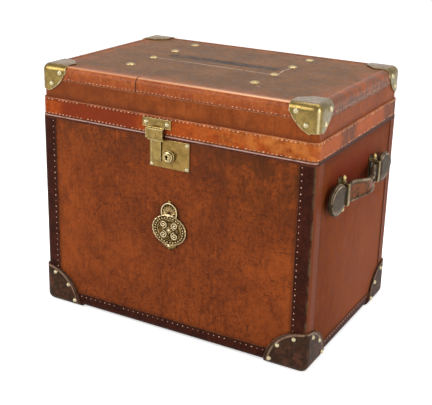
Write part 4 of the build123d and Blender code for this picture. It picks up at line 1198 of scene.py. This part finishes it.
def ornament():
    """Cast badge: a roped oval with scrolls and a rosette, a fan above and leaves below."""
    oval_x = (cast_high.x - cast_low.x) / 2
    oval_h = 25.0
    # The leaf drop takes up the foot of the casting
    drop_h = 10.75
    oval_z = cast_low.z + oval_h + drop_h
    parts = []

    def cast(name, points, faces, lift=0.0):
        """Adds a part from points over the panel: across, up and out."""
        spots = [Vector((cast_x + x, -hide_y - lift - out, oval_z + z)) * MM for x, z, out in points]
        parts.append(mesh_object(name, spots, faces, ornament_brass))

    def leaning(turn, foot, out, along, up):
        """Base and tip of a leaf that leans from upright by turn degrees."""
        s, c = sin(radians(turn)), cos(radians(turn))
        return (out * s, foot + 1.5 * c), ((out + along) * s, foot + (1.5 + up) * c)

    # Dish: a roped rim, a beaded hollow and a domed boss
    rings = (
        (1.0, 0.0), (1.0, 1.8), (0.985, 3.0), (0.955, 3.5), (0.93, 2.9), (0.915, 1.9), (0.8, 1.5),
        (0.71, 1.8), (0.69, 3.0), (0.67, 3.4), (0.65, 2.9), (0.635, 1.6), (0.45, 1.4), (0.3, 1.4),
        (0.15, 1.4), (0.03, 1.4),
    )
    points = []
    count = 72
    for share, depth in rings:
        for k in range(count):
            angle = 2 * pi * k / count
            rope = 0.9 * sin(angle * 24 + share * 30) if 0.93 <= share <= 0.985 else 0.0
            points.append((oval_x * share * cos(angle), oval_h * share * sin(angle), depth + rope))
    cast("dish", points, tube(len(rings), count))
    leaves = []
    # Rosette of eight petals between four scrolls
    for c, s in round_about(8):
        leaves.append(((1.6 * c, 1.6 * s), (6.6 * c, 7.4 * s), 1.7, 2.2, 1.7))
    for sx in (-1, 1):
        for sz in (-1, 1):
            curl = scroll(sx * oval_x * 0.33, sz * oval_h * 0.33, 6.4, 90 - 90 * sx, 1.75 * sx * sz)
            cast(f"scroll_{sx}_{sz}", *curl, 1.6)
    # Scallop above: a close fan of ribs inside a hoop, under a ball, on a beaded collar
    for turn in (-88, -66, -44, -22, 0, 22, 44, 66, 88):
        leaves.append((*leaning(turn, oval_h + 3.5, 3.0, 11.5, 12.5), 2.7, 3.2, 0.8))
    hoop = [(13.6 * sin(radians(a)), oval_h + 4.0 + 15.0 * cos(radians(a))) for a in range(-112, 113, 8)]
    cast("hoop", *relief_strip(hoop, [1.5] * len(hoop), [3.2] * len(hoop)), 0.8)
    leaves.append(((-11.5, oval_h - 0.5), (11.5, oval_h - 0.5), 2.8, 3.0, 1.6))
    # Leaf drop below, with small leaves each side
    for turn, length, width in (
        (180, 12, 4.0), (148, 11, 3.4), (-148, 11, 3.4), (116, 12, 2.8), (-116, 12, 2.8),
    ):
        leaves.append((*leaning(turn, 3 - oval_h, 4, length, length * 0.85), width, 2.8, 0.5))
    for index, (root, tip, width, height, lift) in enumerate(leaves):
        cast(f"leaf_{index}", *leaf(root, tip, width, height), lift)
    for x, z, radius, lift in (
        (0, 0, 2.3, 2.8), (0, oval_h + 21.0, 2.9, 1.2), (-6, oval_h - 0.5, 1.9, 3.0),
        (0, oval_h - 0.5, 2.2, 3.2), (6, oval_h - 0.5, 1.9, 3.0), (0, -oval_h - 0.5, 2.6, 2.6),
    ):
        angles = [pi * t / 14 for t in range(1, 7)]
        bud = [(radius, 0.0)] + [(radius * cos(a), radius * 0.75 * sin(a)) for a in angles]
        middle = (cast_x + x, -hide_y - lift, oval_z + z)
        parts.append(lathe(f"bud_{x}_{z}", bud, 24, middle, (0, -1, 0), ornament_brass))
    made = joined("cast_ornament", parts)
    outward(made.data)
    shaded(made.data, 50)
    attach(made, "body")
    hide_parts("front_ornament")
    # Beads in the hollow between the rim and the inner ring
    seats = []
    for c, s in round_about(30):
        spot = (cast_x + oval_x * 0.81 * c, -hide_y - 1.4, oval_z + oval_h * 0.81 * s)
        seats.append((Vector(spot), Vector((0, -1, 0))))
    seated(
        "ornament_beads", seats, [], ornament_heads, "body", "old_brass", radius=1.75 * MM, rise=2.6 * MM,
        collar=0.3 * MM, segments=12,
    )


# Cast brass: grainy, dark in the ground and bright on the raised work
ornament_brass = old_brass(
    "cast_brass", "#8E7448", "#806638", "#DCC8A0", 0.34, 9, 0.2, 0.5, extra=cast_marks,
)
ornament_heads = heads_tree("cast_brass")
ornament()


# Floor, light and camera
def seen_rays(tree):
    """1 for rays from the camera, from gloss and through glass."""
    rays = put(tree, "ShaderNodeLightPath", out=None).outputs
    seen = rays["Is Camera Ray"]
    for ray in ("Is Glossy Ray", "Is Transmission Ray"):
        seen = put(tree, "ShaderNodeMath", {0: seen, 1: rays[ray]}, operation="MAXIMUM")
    return seen


# White paper, matt: it shows only soft shadows
floor_look = bpy.data.materials.new("pale_studio_floor")
floor_look.use_nodes = True
floor_corners = ((-6, -6, 0), (6, -6, 0), (6, 6, 0), (-6, 6, 0))
ground = mesh_object("floor", floor_corners, [(0, 1, 2, 3)], floor_look, False)
floor_tree = floor_look.node_tree
floor_tree.nodes.clear()
# A part of the paper's white is its own for the camera
paper = put(floor_tree, "ShaderNodeBsdfDiffuse", {"Color": "#F4F4F4"})
own = put(floor_tree, "ShaderNodeEmission", {"Color": "#FFFFFF", "Strength": 0.55})
both = put(floor_tree, "ShaderNodeAddShader", {0: paper, 1: own})
shown = put(floor_tree, "ShaderNodeMixShader", {0: seen_rays(floor_tree), 1: paper, 2: both})
put(floor_tree, "ShaderNodeOutputMaterial", {"Surface": shown}, out=None)

world = bpy.data.worlds.new("studio")
bpy.context.scene.world = world
world.use_nodes = True
world_tree = world.node_tree
world_tree.nodes.clear()
strength = put(
    world_tree, "ShaderNodeMapRange", {"Value": seen_rays(world_tree), "To Min": 0.45, "To Max": 1.0},
)
glow = put(world_tree, "ShaderNodeBackground", {"Color": "#FFFFFF", "Strength": strength})
put(world_tree, "ShaderNodeOutputWorld", {"Surface": glow}, out=None)


def softbox(name, place, target, size, power):
    """Rectangular studio lamp, in metres and watts."""
    data = bpy.data.lights.new(name, "AREA")
    data.shape = "RECTANGLE"
    data.size, data.size_y = size
    data.energy = power
    obj = placed(name, data)
    obj.location = place
    obj.rotation_euler = (Vector(target) - Vector(place)).to_track_quat("-Z", "Y").to_euler()


softbox("key_left", (-1.3, -1.9, 1.6), (0, 0, 0.2), (1.2, 1.2), 38)
softbox("overhead", (0.1, 0.5, 2.1), (0, 0, 0.3), (2.0, 1.2), 22)
softbox("fill_right", (2.2, -0.7, 1.1), (0, 0, 0.2), (1.0, 1.4), 24)

# Camera fitted to the trunk's edges in the photo: sizes in its pixels, place in metres
image_width, focal_px, shift_px = 432, 910.0, (-5, -20)
camera_at = (0.6955, -1.2758, 0.7126)
yaw, pitch, roll = radians(28.58), radians(19.11), radians(1.63)
forward = Vector((-sin(yaw) * cos(pitch), cos(yaw) * cos(pitch), -sin(pitch)))
level_right = Vector((cos(yaw), sin(yaw), 0))
level_up = level_right.cross(forward)
right = cos(roll) * level_right + sin(roll) * level_up
up = cos(roll) * level_up - sin(roll) * level_right
camera_data = bpy.data.cameras.new("view")
camera = placed("view", camera_data)
turn = Matrix((right, up, -forward)).transposed()
camera.matrix_world = Matrix.Translation(camera_at) @ turn.to_4x4()
camera_data.sensor_width = 36
camera_data.sensor_fit = "HORIZONTAL"
camera_data.lens = focal_px * camera_data.sensor_width / image_width
camera_data.shift_x, camera_data.shift_y = (shift / image_width for shift in shift_px)
bpy.context.scene.camera = camera
bpy.context.scene.view_settings.view_transform = "Standard"
